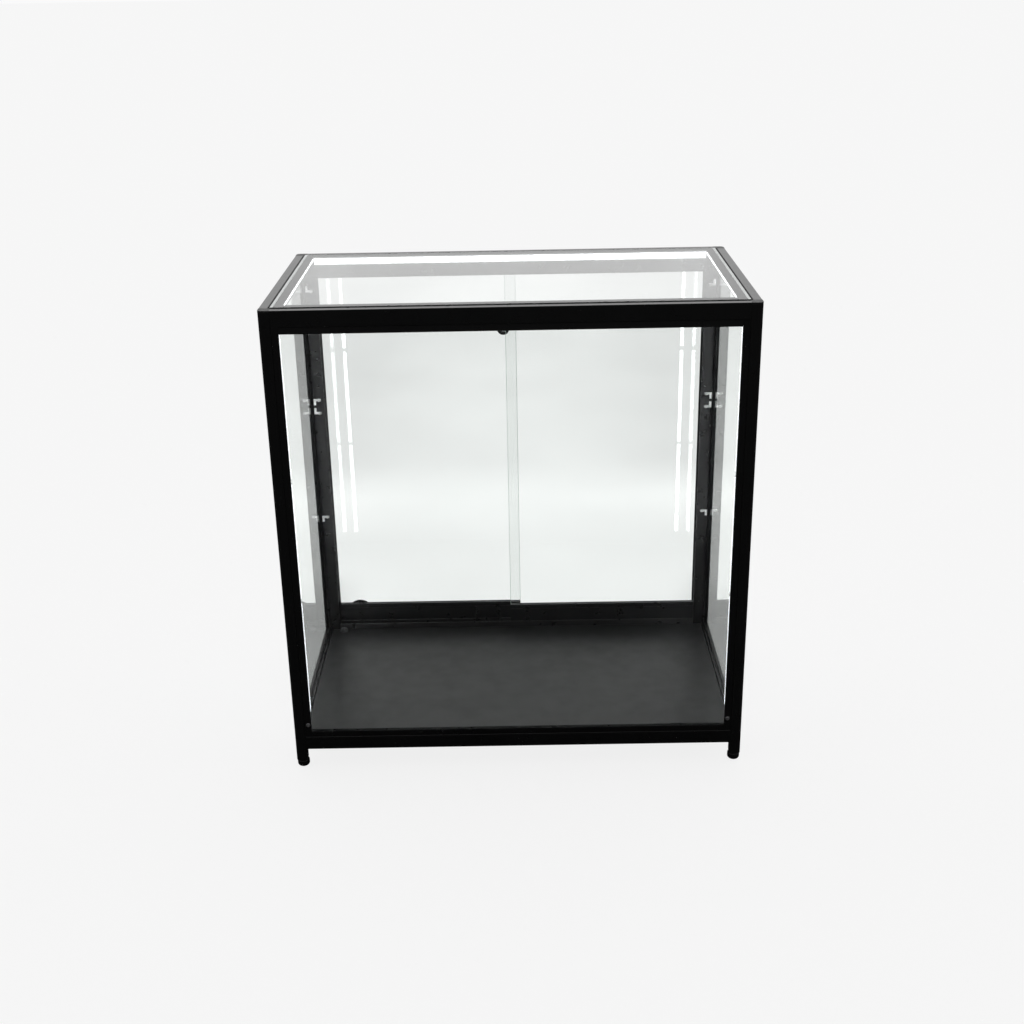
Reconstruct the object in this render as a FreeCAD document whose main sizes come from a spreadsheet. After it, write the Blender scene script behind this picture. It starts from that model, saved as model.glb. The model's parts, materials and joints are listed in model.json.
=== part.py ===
import FreeCAD, Part
import os
import re
import Sketcher

# Free-standing glass display counter: a black aluminium frame of posts and rails, glazed on the front,
# sides and top, with two sliding glass doors at the rear, a plain deck and light bars inside.
# The frame stands on +Z, the front faces -Y, and the origin is on the floor under the middle.

doc = FreeCAD.newDocument("glass_display_counter")

# Driving sizes in millimetres: name, value, meaning
DRIVING_SIZES = [
    ("overall_width", 904, "width over the posts"),
    ("overall_depth", 504, "depth over the posts"),
    ("overall_height", 950, "floor to the top of the frame"),
    ("post_side", 22, "side of the square post tube"),
    ("post_wall", 1.6, "wall of the post tube"),
    ("post_corner_radius", 8, "rounding of the post's outer corner"),
    ("edge_radius", 0.8, "small rounding on the other outer edges"),
    ("leg_end_height", 16, "floor to the lower end of the posts"),
    ("plug_clearance", 0.25, "gap around plugs and keys in a tube"),
    ("rail_depth", 16.5, "depth of the rails from the outer face"),
    ("rail_wall", 1.6, "wall of the rails"),
    ("top_rail_height", 31, "height of the front and side top rails"),
    ("top_rear_rail_height", 18.5, "height of the rear top rail"),
    ("bottom_rail_base", 42.8, "floor to the underside of the bottom rails"),
    ("bottom_rail_height", 28.2, "height of the front and side bottom rails"),
    ("top_ledge_width", 24.5, "ledge under the top glass"),
    ("top_ledge_thickness", 2, "thickness of that ledge"),
    ("deck_ledge_width", 15, "ledge under the deck"),
    ("deck_ledge_thickness", 2, "thickness of that ledge"),
    ("ledge_butt_gap", 0.2, "gap where two ledges butt"),
    ("key_length", 30, "length of the corner keys in the rails"),
    ("key_screw_radius", 2, "corner key screw"),
    ("key_screw_reach", 15, "length of that screw in the key"),
    ("key_screw_head_radius", 3.5, "its head"),
    ("key_screw_head_height", 2.2, "height of its head"),
    ("screw_clearance", 0.05, "radial gap of screws in their holes"),
    ("channel_size", 13, "glazing channel from its root to its mouth"),
    ("channel_setback", 1.2, "front channels behind the frame's face"),
    ("side_channel_setback", 9, "side channels behind the frame's side faces"),
    ("side_ledge_width", 5.5, "low ledge on the inner side of the side channels"),
    ("side_ledge_height", 10.5, "side channel's root to the top of that ledge"),
    ("channel_wall", 1.2, "walls of the channel"),
    ("channel_floor", 2, "floor of the channel's slot"),
    ("glass_thickness", 4, "front and side panes"),
    ("glass_play", 0.3, "gap on each side of a pane in its slot"),
    ("glass_edge_play", 1, "gap between a pane's edge and the slot floor"),
    ("setting_block_length", 60, "rubber block under a pane"),
    ("setting_block_inset", 90, "pane's edge to the block"),
    ("top_glass_thickness", 5, "top pane"),
    ("top_glass_rise", 1.2, "top pane above the frame"),
    ("top_glass_gap", 3.2, "groove around the top pane"),
    ("seal_height", 4.6, "rubber strip in that groove, from the ledge up"),
    ("deck_rise", 9, "deck's top above the bottom rails"),
    ("deck_thickness", 12, "deck panel"),
    ("deck_play", 0.5, "gap around the deck panel"),
    ("track_setback", 5, "rear face of the tracks inside the rear face"),
    ("track_pitch", 18, "distance between the two doors' grooves"),
    ("track_rib", 2, "rib thickness of the tracks and jambs"),
    ("track_base", 2, "base thickness of the tracks and jambs"),
    ("bottom_track_height", 13.5, "height of the bottom track"),
    ("top_track_height", 29, "height of the top track"),
    ("jamb_depth", 19.5, "depth of the door jambs from the posts"),
    ("door_entry", 7, "door edge inside the jamb"),
    ("door_overlap", 23, "overlap of the two doors"),
    ("door_shift", -1.5, "doors stand off the middle"),
    ("door_top_gap", 7, "gap above the door in the top track"),
    ("door_glass_thickness", 4, "door panes"),
    ("shoe_width", 11, "width of the doors' bottom shoe"),
    ("shoe_height", 49.5, "height of the shoe"),
    ("shoe_ground", 2, "shoe above the floor of the track"),
    ("shoe_slot_depth", 24, "depth of the pane in the shoe"),
    ("shoe_line_drop", 9.5, "shoe's top to the line on its face"),
    ("shoe_line_size", 1, "depth and height of that line"),
    ("wheel_radius", 7, "door wheel"),
    ("wheel_width", 5, "width of the wheel"),
    ("wheel_gap", 0.3, "gap under and beside the wheel"),
    ("wheel_head_room", 1, "gap above the wheel in the shoe"),
    ("wheel_inset", 45, "shoe's end to the wheel's axle"),
    ("wheel_axle_radius", 1.5, "stub axles of the wheel"),
    ("wheel_axle_reach", 2, "stub axle beyond the wheel"),
    ("axle_clearance", 0.05, "radial gap of the stub axles"),
    ("lock_height", 784.5, "floor to the lock's axis"),
    ("lock_bolt_radius", 4.2, "push bolt of the lock"),
    ("lock_bolt_play", 0.5, "bolt to the edge of the other door"),
    ("lock_bolt_clearance", 0.05, "radial gap of the bolt"),
    ("lock_wall", 3, "wall of the lock's housing"),
    ("lock_flange_radius", 13.2, "lock's flange and nut"),
    ("lock_flange_thickness", 2.5, "flange outside the pane"),
    ("lock_nut_thickness", 4, "nut inside the pane"),
    ("lock_hole_clearance", 0.3, "gap of the housing in the pane"),
    ("lock_bolt_tip", 8, "bolt's tip ahead of the pane"),
    ("lock_bolt_head", 10.5, "bolt's head behind the pane"),
    ("key_barrel_radius", 2.6, "key barrel in the bolt"),
    ("key_barrel_length", 9, "length of the key barrel"),
    ("key_slot_length", 3.6, "key slot"),
    ("key_slot_width", 1, "width of the key slot"),
    ("key_slot_depth", 3, "depth of the key slot"),
    ("pull_radius", 30, "half-round finger pull"),
    ("pull_thickness", 2.2, "thickness of the finger pull"),
    ("pull_rise", 5.5, "pull above the shoe"),
    ("pull_inset", 54, "shoe's end to the middle of the pull"),
    ("front_light_width", 8, "lens of the front lights"),
    ("front_light_lens", 3.5, "thickness of the front lenses"),
    ("front_light_inset", 3.5, "post's edge to the front lens"),
    ("light_body_width", 11, "body of the front lights"),
    ("light_deck_gap", 38, "deck to the lowest front light"),
    ("lower_light_length", 246, "lowest front light"),
    ("lower_light_gap", 4, "gap above it"),
    ("middle_light_length", 245, "middle front light"),
    ("upper_light_gap", 6, "gap above it"),
    ("light_top_gap", 4, "upper front light to the glazing channel"),
    ("rear_light_depth", 10, "body of the rear light"),
    ("rear_light_lens", 2.5, "thickness of the rear lens"),
    ("rear_light_gap", 1.2, "gap above the rear light"),
    ("rear_light_end_gap", 0.5, "rear light to the jambs"),
    ("side_light_height", 3.5, "lights under the side ledges"),
    ("side_light_depth", 10, "body of a side light"),
    ("side_light_lens", 2.5, "thickness of a side lens"),
    ("side_light_end_gap", 0.5, "side lights to the front ledge and the door track"),
    ("clip_thickness", 1.5, "sheet of the light clips"),
    ("clip_width", 5, "width of the clip's leg"),
    ("clip_leg", 9, "height of the clip's leg"),
    ("clip_foot", 15.5, "length of the clip's foot"),
    ("clip_overhang", 3.5, "clip's leg outside the jamb"),
    ("clip_screw_radius", 1.5, "clip screw"),
    ("clip_screw_head_radius", 3.6, "its head"),
    ("clip_screw_head_height", 1.8, "height of its head"),
    ("clip_screw_inset", 4, "foot's end to the screw"),
    ("clip_offset", 20, "upper middle clip above the end of the upper light"),
    ("low_clip_drop", 3.5, "lower middle clip below the end of the middle light"),
    ("top_clip_drop", 27, "uppermost clip below the end of the light"),
    ("grommet_radius", 8.5, "cable grommet in the deck"),
    ("grommet_rise", 9, "grommet above the deck"),
    ("grommet_rounding", 6, "rounding of the grommet's top"),
    ("grommet_neck_radius", 6.5, "grommet's neck in the deck"),
    ("grommet_wall", 2, "wall of the grommet's neck"),
    ("grommet_inset_width", 9.5, "grommet's axis from the jamb's edge"),
    ("grommet_inset_depth", 9.2, "grommet's axis from the track"),
    ("driver_length", 140, "light driver under the deck"),
    ("driver_width", 46, "width of the driver"),
    ("driver_height", 20, "height of the driver"),
    ("driver_offset", 60, "driver from the rear bottom rail"),
    ("leg_plug_height", 15, "threaded plug in the post's lower end"),
    ("foot_radius", 12.2, "levelling foot"),
    ("foot_inset", 12.5, "foot's axis from the outer faces"),
    ("foot_gap", 0.3, "foot to the end of the post"),
    ("foot_base_radius", 6, "rounding of the foot's base"),
    ("foot_shoulder_radius", 4, "rounding of the foot's shoulder"),
    ("stud_radius", 4, "stud of the levelling foot"),
    ("stud_length", 52, "length of the stud above the foot"),
]

sheet = doc.addObject("Spreadsheet::Sheet", "Sizes")
for row, (alias, number, meaning) in enumerate(DRIVING_SIZES, start=1):
    sheet.set(f"A{row}", meaning)
    sheet.set(f"B{row}", str(number))
    sheet.setAlias(f"B{row}", alias)
doc.recompute()

ALIASES = {alias for alias, number, meaning in DRIVING_SIZES}
TOLERANCE = 1e-4
QUARTER_TURN = 90

# How a sketch numbers its origin and the points of its lines and circles
SKETCH_ORIGIN = -1
START_INDEX = 1
END_INDEX = 2
CENTRE_INDEX = 3


def tied(formula):
    """Write a formula of size names as an expression on the sheet."""
    def cell(match):
        word = match.group(0)
        return f"Sizes.{word}" if word in ALIASES else word
    return re.sub(r"[a-z][a-z_]*", cell, formula)


def measure(formula):
    """Give a formula's present value."""
    return float(sheet.evalExpression(tied(formula)))


def bind(item, place, formula):
    item.setExpression(place, tied(formula))


def block(label, x_span, y_span, z_span):
    """A box between two faces on each axis."""
    item = doc.addObject("Part::Box", label)
    for side, axis, (low, high) in zip(("Length", "Width", "Height"), "xyz", (x_span, y_span, z_span)):
        bind(item, f"Placement.Base.{axis}", low)
        bind(item, side, f"({high}) - ({low})")
    return item


TURN_TO_AXIS = {
    "x": FreeCAD.Rotation(FreeCAD.Vector(0, 1, 0), QUARTER_TURN),
    "y": FreeCAD.Rotation(FreeCAD.Vector(1, 0, 0), -QUARTER_TURN),
    "z": FreeCAD.Rotation(),
}


def rod(label, axis, middle, span, radius):
    """A cylinder along an axis, between two faces, at a place on the other two axes."""
    item = doc.addObject("Part::Cylinder", label)
    item.Placement = FreeCAD.Placement(FreeCAD.Vector(), TURN_TO_AXIS[axis])
    low, high = span
    place = dict(zip([name for name in "xyz" if name != axis], middle))
    place[axis] = low
    for name in "xyz":
        bind(item, f"Placement.Base.{name}", place[name])
    bind(item, "Radius", radius)
    bind(item, "Height", f"({high}) - ({low})")
    return item


def joined(label, pieces):
    item = doc.addObject("Part::MultiFuse", label)
    item.Shapes = pieces
    return item


def grouped(label, pieces):
    """Separate like pieces under one name."""
    item = doc.addObject("Part::Compound", label)
    item.Links = pieces
    return item


def carved(label, base, tools):
    item = doc.addObject("Part::Cut", label)
    item.Base = base
    item.Tool = tools[0] if len(tools) == 1 else grouped(f"{label}_tools", tools)
    return item


MIRROR_NORMAL = {"x": FreeCAD.Vector(1, 0, 0), "y": FreeCAD.Vector(0, 1, 0)}


def mirrored(label, source, axis):
    item = doc.addObject("Part::Mirroring", label)
    item.Source = source
    item.Normal = MIRROR_NORMAL[axis]
    return item


SKETCH_PLANE = {"z": "XY_Plane", "y": "XZ_Plane", "x": "YZ_Plane"}


def outline_sketch(body, name, axis, outlines, start):
    """Closed outlines, each corner held at its place, on the plane square to an axis."""
    sketch = body.newObject("Sketcher::SketchObject", name)
    plane = next(item for item in body.Origin.OriginFeatures if item.Role == SKETCH_PLANE[axis])
    sketch.AttachmentSupport = [(plane, "")]
    sketch.MapMode = "FlatFace"
    bind(sketch, "AttachmentOffset.Base.z", start)
    for outline in outlines:
        corners = [FreeCAD.Vector(measure(across), measure(up), 0) for across, up in outline]
        first = sketch.GeometryCount
        count = len(corners)
        for index in range(count):
            line = Part.LineSegment(corners[index], corners[(index + 1) % count])
            sketch.addGeometry(line, False)
        for index in range(count):
            following = first + (index + 1) % count
            sketch.addConstraint(Sketcher.Constraint(
                "Coincident", first + index, END_INDEX, following, START_INDEX,
            ))
        for index, (across, up) in enumerate(outline):
            for kind, formula, value in (
                ("DistanceX", across, corners[index].x),
                ("DistanceY", up, corners[index].y),
            ):
                held = sketch.addConstraint(Sketcher.Constraint(
                    kind, SKETCH_ORIGIN, START_INDEX, first + index, START_INDEX, value,
                ))
                bind(sketch, f"Constraints[{held}]", formula)
    return sketch


def extruded(label, axis, outlines, span):
    """A straight member: its section square to an axis, run between two faces."""
    body = doc.addObject("PartDesign::Body", label)
    add_run(body, f"{label}_section", axis, outlines, span)
    return body


def add_run(body, name, axis, outlines, span):
    low, high = span
    start = f"-({high})" if axis == "y" else low
    sketch = outline_sketch(body, name, axis, outlines, start)
    pad = body.newObject("PartDesign::Pad", f"{name}_run")
    pad.Profile = sketch
    bind(pad, "Length", f"({high}) - ({low})")
    sketch.Visibility = False
    doc.recompute()
    return pad


def rounded(body, axis, corners, radius):
    """Round the long edges that stand on the given corners of the section."""
    index = "xyz".index(axis)
    names = [name for name in range(3) if name != index]
    wanted = [(measure(across), measure(up)) for across, up in corners]
    edges = []
    for number, edge in enumerate(body.Shape.Edges, start=1):
        ends = [vertex.Point for vertex in edge.Vertexes]
        if len(ends) != 2 or abs(abs((ends[1] - ends[0])[index]) - edge.Length) > TOLERANCE:
            continue
        place = (ends[0][names[0]], ends[0][names[1]])
        if any(abs(place[0] - a) < TOLERANCE and abs(place[1] - b) < TOLERANCE for a, b in wanted):
            edges.append(f"Edge{number}")
    before = body.Tip
    fillet = body.newObject("PartDesign::Fillet", f"{body.Name}_rounding")
    fillet.Base = (before, edges)
    bind(fillet, "Radius", radius)
    body.Tip = fillet
    doc.recompute()
    return fillet


def add_disc(body, name, middle, span, radius):
    """A round run up the Z axis."""
    low, high = span
    sketch = body.newObject("Sketcher::SketchObject", name)
    plane = next(item for item in body.Origin.OriginFeatures if item.Role == SKETCH_PLANE["z"])
    sketch.AttachmentSupport = [(plane, "")]
    sketch.MapMode = "FlatFace"
    bind(sketch, "AttachmentOffset.Base.z", low)
    centre = FreeCAD.Vector(measure(middle[0]), measure(middle[1]), 0)
    circle = sketch.addGeometry(Part.Circle(centre, FreeCAD.Vector(0, 0, 1), measure(radius)), False)
    across, up = [
        Sketcher.Constraint(kind, SKETCH_ORIGIN, START_INDEX, circle, CENTRE_INDEX, value)
        for kind, value in (("DistanceX", centre.x), ("DistanceY", centre.y))
    ]
    for constraint, formula in (
        (across, middle[0]),
        (up, middle[1]),
        (Sketcher.Constraint("Radius", circle, measure(radius)), radius),
    ):
        held = sketch.addConstraint(constraint)
        bind(sketch, f"Constraints[{held}]", formula)
    pad = body.newObject("PartDesign::Pad", f"{name}_run")
    pad.Profile = sketch
    bind(pad, "Length", f"({high}) - ({low})")
    sketch.Visibility = False
    doc.recompute()
    return pad


def round_rim(body, height, rim_radius, rounding):
    """Round a whole circular edge, found by its height and radius."""
    edges = []
    for number, edge in enumerate(body.Shape.Edges, start=1):
        if not isinstance(edge.Curve, Part.Circle):
            continue
        same_height = abs(edge.Curve.Center.z - measure(height)) < TOLERANCE
        if same_height and abs(edge.Curve.Radius - measure(rim_radius)) < TOLERANCE:
            edges.append(f"Edge{number}")
    before = body.Tip
    fillet = body.newObject("PartDesign::Fillet", f"{body.Name}_rim")
    fillet.Base = (before, edges)
    bind(fillet, "Radius", rounding)
    body.Tip = fillet
    doc.recompute()
    return fillet


def rectangle(across, up):
    """Corners of a rectangle from its two spans."""
    return [(across[0], up[0]), (across[1], up[0]), (across[1], up[1]), (across[0], up[1])]


# Main planes of the frame
LEFT_FACE = "(-overall_width / 2)"
FRONT_FACE = "(-overall_depth / 2)"
REAR_FACE = "(overall_depth / 2)"
POST_LEFT = f"({LEFT_FACE} + post_side)"
POST_RIGHT = f"(-{POST_LEFT})"
POST_FRONT = f"({FRONT_FACE} + post_side)"
POST_REAR = f"({REAR_FACE} - post_side)"
RAIL_LEFT = f"({LEFT_FACE} + rail_depth)"
RAIL_RIGHT = f"(-{RAIL_LEFT})"
RAIL_FRONT = f"({FRONT_FACE} + rail_depth)"
RAIL_REAR = f"({REAR_FACE} - rail_depth)"
TOP_RAIL_BASE = "(overall_height - top_rail_height)"
REAR_RAIL_BASE = "(overall_height - top_rear_rail_height)"
BOTTOM_RAIL_TOP = "(bottom_rail_base + bottom_rail_height)"
DECK_TOP = f"({BOTTOM_RAIL_TOP} + deck_rise)"
DECK_BASE = f"({DECK_TOP} - deck_thickness)"
TOP_GLASS_TOP = "(overall_height + top_glass_rise)"
TOP_LEDGE = f"({TOP_GLASS_TOP} - top_glass_thickness)"
TOP_LEDGE_BASE = f"({TOP_LEDGE} - top_ledge_thickness)"
DECK_LEDGE_BASE = f"({DECK_BASE} - deck_ledge_thickness)"
POST_SPAN_X = (POST_LEFT, POST_RIGHT)
POST_SPAN_Y = (POST_FRONT, POST_REAR)

# Rails: each end takes a key and a screw, so each rail keeps its chamber and its middle height
LEVELS = {
    "top": (TOP_RAIL_BASE, "overall_height"),
    "top_rear": (REAR_RAIL_BASE, "overall_height"),
    "bottom": ("bottom_rail_base", BOTTOM_RAIL_TOP),
    "bottom_rear": ("bottom_rail_base", DECK_TOP),
}


def level_middle(level):
    low, high = LEVELS[level]
    return f"(({low} + {high}) / 2)"


def within(span, margin):
    low, high = span
    return (f"({low} + {margin})", f"({high} - {margin})")


def cross_rail(label, level, face_span, ledge_span, ledge_edge):
    """A front or rear rail: hollow, with a ledge along its inner face."""
    inner_face = face_span[1] if ledge_edge[0] == "front" else face_span[0]
    outer_face = face_span[0] if ledge_edge[0] == "front" else face_span[1]
    low, high = LEVELS[level]
    section = [
        (outer_face, low),
        (inner_face, low),
        (inner_face, ledge_span[0]),
        (ledge_edge[1], ledge_span[0]),
        (ledge_edge[1], ledge_span[1]),
        (inner_face, ledge_span[1]),
        (inner_face, high),
        (outer_face, high),
    ]
    chamber = rectangle(within(face_span, "rail_wall"), within((low, high), "rail_wall"))
    body = extruded(label, "x", [section, chamber], POST_SPAN_X)
    rounded(body, "x", [(outer_face, low), (outer_face, high), (inner_face, high)], "edge_radius")
    return body


def left_rail(label, level, ledge_span, ledge_width, ledge_run):
    """A side rail, on the left: hollow, with a ledge that ends at the cross rails' ledges."""
    low, high = LEVELS[level]
    face_span = (LEFT_FACE, RAIL_LEFT)
    chamber = rectangle(within(face_span, "rail_wall"), within((low, high), "rail_wall"))
    body = extruded(label, "y", [rectangle(face_span, (low, high)), chamber], POST_SPAN_Y)
    rounded(body, "y", [(LEFT_FACE, low), (LEFT_FACE, high), (RAIL_LEFT, high)], "edge_radius")
    ledge = rectangle((RAIL_LEFT, f"({RAIL_LEFT} + {ledge_width})"), ledge_span)
    add_run(body, f"{label}_ledge", "y", [ledge], ledge_run)
    return body


FRONT_SPAN = (FRONT_FACE, RAIL_FRONT)
REAR_SPAN = (RAIL_REAR, REAR_FACE)
TOP_LEDGE_SPAN = (TOP_LEDGE_BASE, TOP_LEDGE)
DECK_LEDGE_SPAN = (DECK_LEDGE_BASE, DECK_BASE)
TOP_LEDGE_FRONT = f"({RAIL_FRONT} + top_ledge_width)"
TOP_LEDGE_REAR = f"({RAIL_REAR} - top_ledge_width)"
DECK_LEDGE_FRONT = f"({RAIL_FRONT} + deck_ledge_width)"
DECK_LEDGE_REAR = f"({RAIL_REAR} - deck_ledge_width)"

rails = [
    cross_rail("top_front_rail", "top", FRONT_SPAN, TOP_LEDGE_SPAN, ("front", TOP_LEDGE_FRONT)),
    cross_rail("top_rear_rail", "top_rear", REAR_SPAN, TOP_LEDGE_SPAN, ("rear", TOP_LEDGE_REAR)),
    cross_rail("bottom_front_rail", "bottom", FRONT_SPAN, DECK_LEDGE_SPAN, ("front", DECK_LEDGE_FRONT)),
    cross_rail("bottom_rear_rail", "bottom_rear", REAR_SPAN, DECK_LEDGE_SPAN, ("rear", DECK_LEDGE_REAR)),
]
top_left_rail = left_rail(
    "top_left_rail", "top", TOP_LEDGE_SPAN, "top_ledge_width",
    within((TOP_LEDGE_FRONT, TOP_LEDGE_REAR), "ledge_butt_gap"),
)
bottom_left_rail = left_rail(
    "bottom_left_rail", "bottom", DECK_LEDGE_SPAN, "deck_ledge_width",
    within((DECK_LEDGE_FRONT, DECK_LEDGE_REAR), "ledge_butt_gap"),
)
rails += [
    top_left_rail,
    mirrored("top_right_rail", top_left_rail, "x"),
    bottom_left_rail,
    mirrored("bottom_right_rail", bottom_left_rail, "x"),
]

# Posts: square tubes with a large outer rounding, drilled for the screws of the corner keys
BORE_LEFT = f"({LEFT_FACE} + post_wall)"
BORE_RIGHT = f"({POST_LEFT} - post_wall)"
BORE_SPAN_X = (BORE_LEFT, BORE_RIGHT)
RAIL_MIDDLE_X = f"({LEFT_FACE} + rail_depth / 2)"
CORNERS = {
    "front": {
        "face": FRONT_FACE, "inner": POST_FRONT, "way": "+", "middle": f"({FRONT_FACE} + rail_depth / 2)",
        "cross_levels": ("top", "bottom"),
    },
    "rear": {
        "face": REAR_FACE, "inner": POST_REAR, "way": "-", "middle": f"({REAR_FACE} - rail_depth / 2)",
        "cross_levels": ("top_rear", "bottom_rear"),
    },
}
SIDE_LEVELS = ("top", "bottom")


def run_from(start, way, near, far):
    """A span along one axis, from near to far off a face, low end first."""
    close = f"({start} {way} ({near}))"
    distant = f"({start} {way} ({far}))"
    return (close, distant) if way == "+" else (distant, close)


def outer_end(span, place):
    """The end of a front-to-rear span that lies toward the corner's outer face."""
    return span[0] if place["way"] == "+" else span[1]


def bore_plug(body, name, corner, span):
    """A plug that fits a left post's bore, rounded as the bore is."""
    place = CORNERS[corner]
    bore_span = run_from(place["face"], place["way"], "post_wall", "post_side - post_wall")
    plug_x = within(BORE_SPAN_X, "plug_clearance")
    plug_y = within(bore_span, "plug_clearance")
    add_run(body, name, "z", [rectangle(plug_x, plug_y)], span)
    rounded(body, "z", [(plug_x[0], outer_end(plug_y, place))], "post_corner_radius - post_wall")


def key_screw_holes(corner):
    """Holes through the two inner walls of a left post."""
    place = CORNERS[corner]
    back = "-" if place["way"] == "+" else "+"
    radius = "key_screw_radius + screw_clearance"
    holes = []
    for level in place["cross_levels"]:
        span = (f"({POST_LEFT} - 2 * post_wall)", f"({POST_LEFT} + post_wall)")
        middle = (place["middle"], level_middle(level))
        holes.append(rod(f"{corner}_{level}_cross_hole", "x", middle, span, radius))
    for level in SIDE_LEVELS:
        span = run_from(place["inner"], back, "-post_wall", "2 * post_wall")
        middle = (RAIL_MIDDLE_X, level_middle(level))
        holes.append(rod(f"{corner}_{level}_side_hole", "y", middle, span, radius))
    return holes


def left_post(corner):
    place = CORNERS[corner]
    outer_span = run_from(place["face"], place["way"], "0", "post_side")
    bore_span = run_from(place["face"], place["way"], "post_wall", "post_side - post_wall")
    section = rectangle((LEFT_FACE, POST_LEFT), outer_span)
    bore = rectangle(BORE_SPAN_X, bore_span)
    tube = extruded(f"{corner}_left_tube", "z", [section, bore], ("leg_end_height", TOP_LEDGE))
    rounded(tube, "z", [(LEFT_FACE, place["face"])], "post_corner_radius")
    bore_corner = run_from(place["face"], place["way"], "post_wall", "post_side")
    rounded(tube, "z", [(BORE_LEFT, outer_end(bore_corner, place))], "post_corner_radius - post_wall")
    small = [(LEFT_FACE, place["inner"]), (POST_LEFT, place["face"]), (POST_LEFT, place["inner"])]
    rounded(tube, "z", small, "edge_radius")
    return carved(f"{corner}_left_post", tube, key_screw_holes(corner))


posts = []
for corner in CORNERS:
    left = left_post(corner)
    posts += [left, mirrored(f"{corner}_right_post", left, "x")]


# Corner caps close the posts, notched for the top pane, each with a plug above the rear rail's screw
CAP_NOTCH = "(rail_depth + top_glass_gap - ledge_butt_gap)"
CAP_PLUG_BASE = f"({level_middle('top_rear')} + key_screw_head_radius + plug_clearance)"


def left_cap(corner):
    place = CORNERS[corner]
    notch_x = f"({LEFT_FACE} + {CAP_NOTCH})"
    notch_y = f"({place['face']} {place['way']} {CAP_NOTCH})"
    outline = [
        (LEFT_FACE, place["face"]), (POST_LEFT, place["face"]), (POST_LEFT, notch_y),
        (notch_x, notch_y), (notch_x, place["inner"]), (LEFT_FACE, place["inner"]),
    ]
    body = doc.addObject("PartDesign::Body", f"{corner}_left_cap")
    bore_plug(body, f"{corner}_left_cap_plug", corner, (CAP_PLUG_BASE, TOP_LEDGE))
    add_run(body, f"{corner}_left_cap_plate", "z", [outline], (TOP_LEDGE, "overall_height"))
    rounded(body, "z", [(LEFT_FACE, place["face"])], "post_corner_radius")
    return body


def pair(left):
    """A left piece and its right twin."""
    return [left, mirrored(left.Label.replace("left", "right"), left, "x")]


caps = grouped("top_corner_caps", [cap for corner in CORNERS for cap in pair(left_cap(corner))])


# Corner keys fill the rails' ends, and a screw from inside the post holds each one
def chamber_height(level):
    return within(within(LEVELS[level], "rail_wall"), "plug_clearance")


def cross_key(corner, level):
    place = CORNERS[corner]
    depth = run_from(
        place["face"], place["way"], "rail_wall + plug_clearance",
        "rail_depth - rail_wall - plug_clearance",
    )
    name = f"{corner}_{level}_left_cross_key"
    span = (POST_LEFT, f"({POST_LEFT} + key_length)")
    solid = block(f"{name}_block", span, depth, chamber_height(level))
    hole = rod(
        f"{name}_hole", "x", (place["middle"], level_middle(level)),
        (POST_LEFT, f"({POST_LEFT} + key_screw_reach)"), "key_screw_radius + screw_clearance",
    )
    return carved(name, solid, [hole])


def side_key(corner, level):
    place = CORNERS[corner]
    name = f"{corner}_{level}_left_side_key"
    width = within((LEFT_FACE, RAIL_LEFT), "(rail_wall + plug_clearance)")
    span = run_from(place["inner"], place["way"], "0", "key_length")
    solid = block(f"{name}_block", width, span, chamber_height(level))
    hole = rod(
        f"{name}_hole", "y", (RAIL_MIDDLE_X, level_middle(level)),
        run_from(place["inner"], place["way"], "0", "key_screw_reach"), "key_screw_radius + screw_clearance",
    )
    return carved(name, solid, [hole])


def key_screw(name, axis, middle, wall_face, way):
    """A pan head against the inside of the post's wall, and a shank into the key."""
    head_span = run_from(wall_face, way, "-key_screw_head_height", "0")
    shank_span = run_from(wall_face, way, "0", "post_wall + key_screw_reach")
    head = rod(f"{name}_head", axis, middle, head_span, "key_screw_head_radius")
    shank = rod(f"{name}_shank", axis, middle, shank_span, "key_screw_radius")
    return joined(name, [head, shank])


keys = []
key_screws = []
for corner, place in CORNERS.items():
    for level in place["cross_levels"]:
        keys += pair(cross_key(corner, level))
        middle = (place["middle"], level_middle(level))
        screw = key_screw(f"{corner}_{level}_left_cross_screw", "x", middle, BORE_RIGHT, "+")
        key_screws += pair(screw)
    inner_wall = f"({place['inner']} {'-' if place['way'] == '+' else '+'} post_wall)"
    for level in SIDE_LEVELS:
        keys += pair(side_key(corner, level))
        middle = (RAIL_MIDDLE_X, level_middle(level))
        screw = key_screw(f"{corner}_{level}_left_side_screw", "y", middle, inner_wall, place["way"])
        key_screws += pair(screw)
corner_keys = grouped("corner_keys", keys)
corner_key_screws = grouped("corner_key_screws", key_screws)


# Levelling feet: a rounded foot on a stud, in a threaded plug at the post's lower end
FOOT_X = f"({LEFT_FACE} + foot_inset)"
FOOT_TOP = "(leg_end_height - foot_gap)"
PLUG_TOP = "(leg_end_height + leg_plug_height)"


def foot_place(corner):
    place = CORNERS[corner]
    return (FOOT_X, f"({place['face']} {place['way']} foot_inset)")


def left_plug(corner):
    span = ("leg_end_height", PLUG_TOP)
    name = f"{corner}_left_plug"
    solid = doc.addObject("PartDesign::Body", f"{name}_block")
    bore_plug(solid, f"{name}_section", corner, span)
    hole = rod(f"{name}_hole", "z", foot_place(corner), span, "stud_radius + screw_clearance")
    return carved(name, solid, [hole])


def left_foot(corner):
    middle = foot_place(corner)
    name = f"{corner}_left_foot"
    body = doc.addObject("PartDesign::Body", name)
    add_disc(body, f"{name}_pad", middle, ("0", FOOT_TOP), "foot_radius")
    round_rim(body, "0", "foot_radius", "foot_base_radius")
    round_rim(body, FOOT_TOP, "foot_radius", "foot_shoulder_radius")
    add_disc(body, f"{name}_stud", middle, (FOOT_TOP, f"({FOOT_TOP} + stud_length)"), "stud_radius")
    return body


leg_plugs = grouped("leg_plugs", [plug for corner in CORNERS for plug in pair(left_plug(corner))])
feet = [foot for corner in CORNERS for foot in pair(left_foot(corner))]


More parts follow.
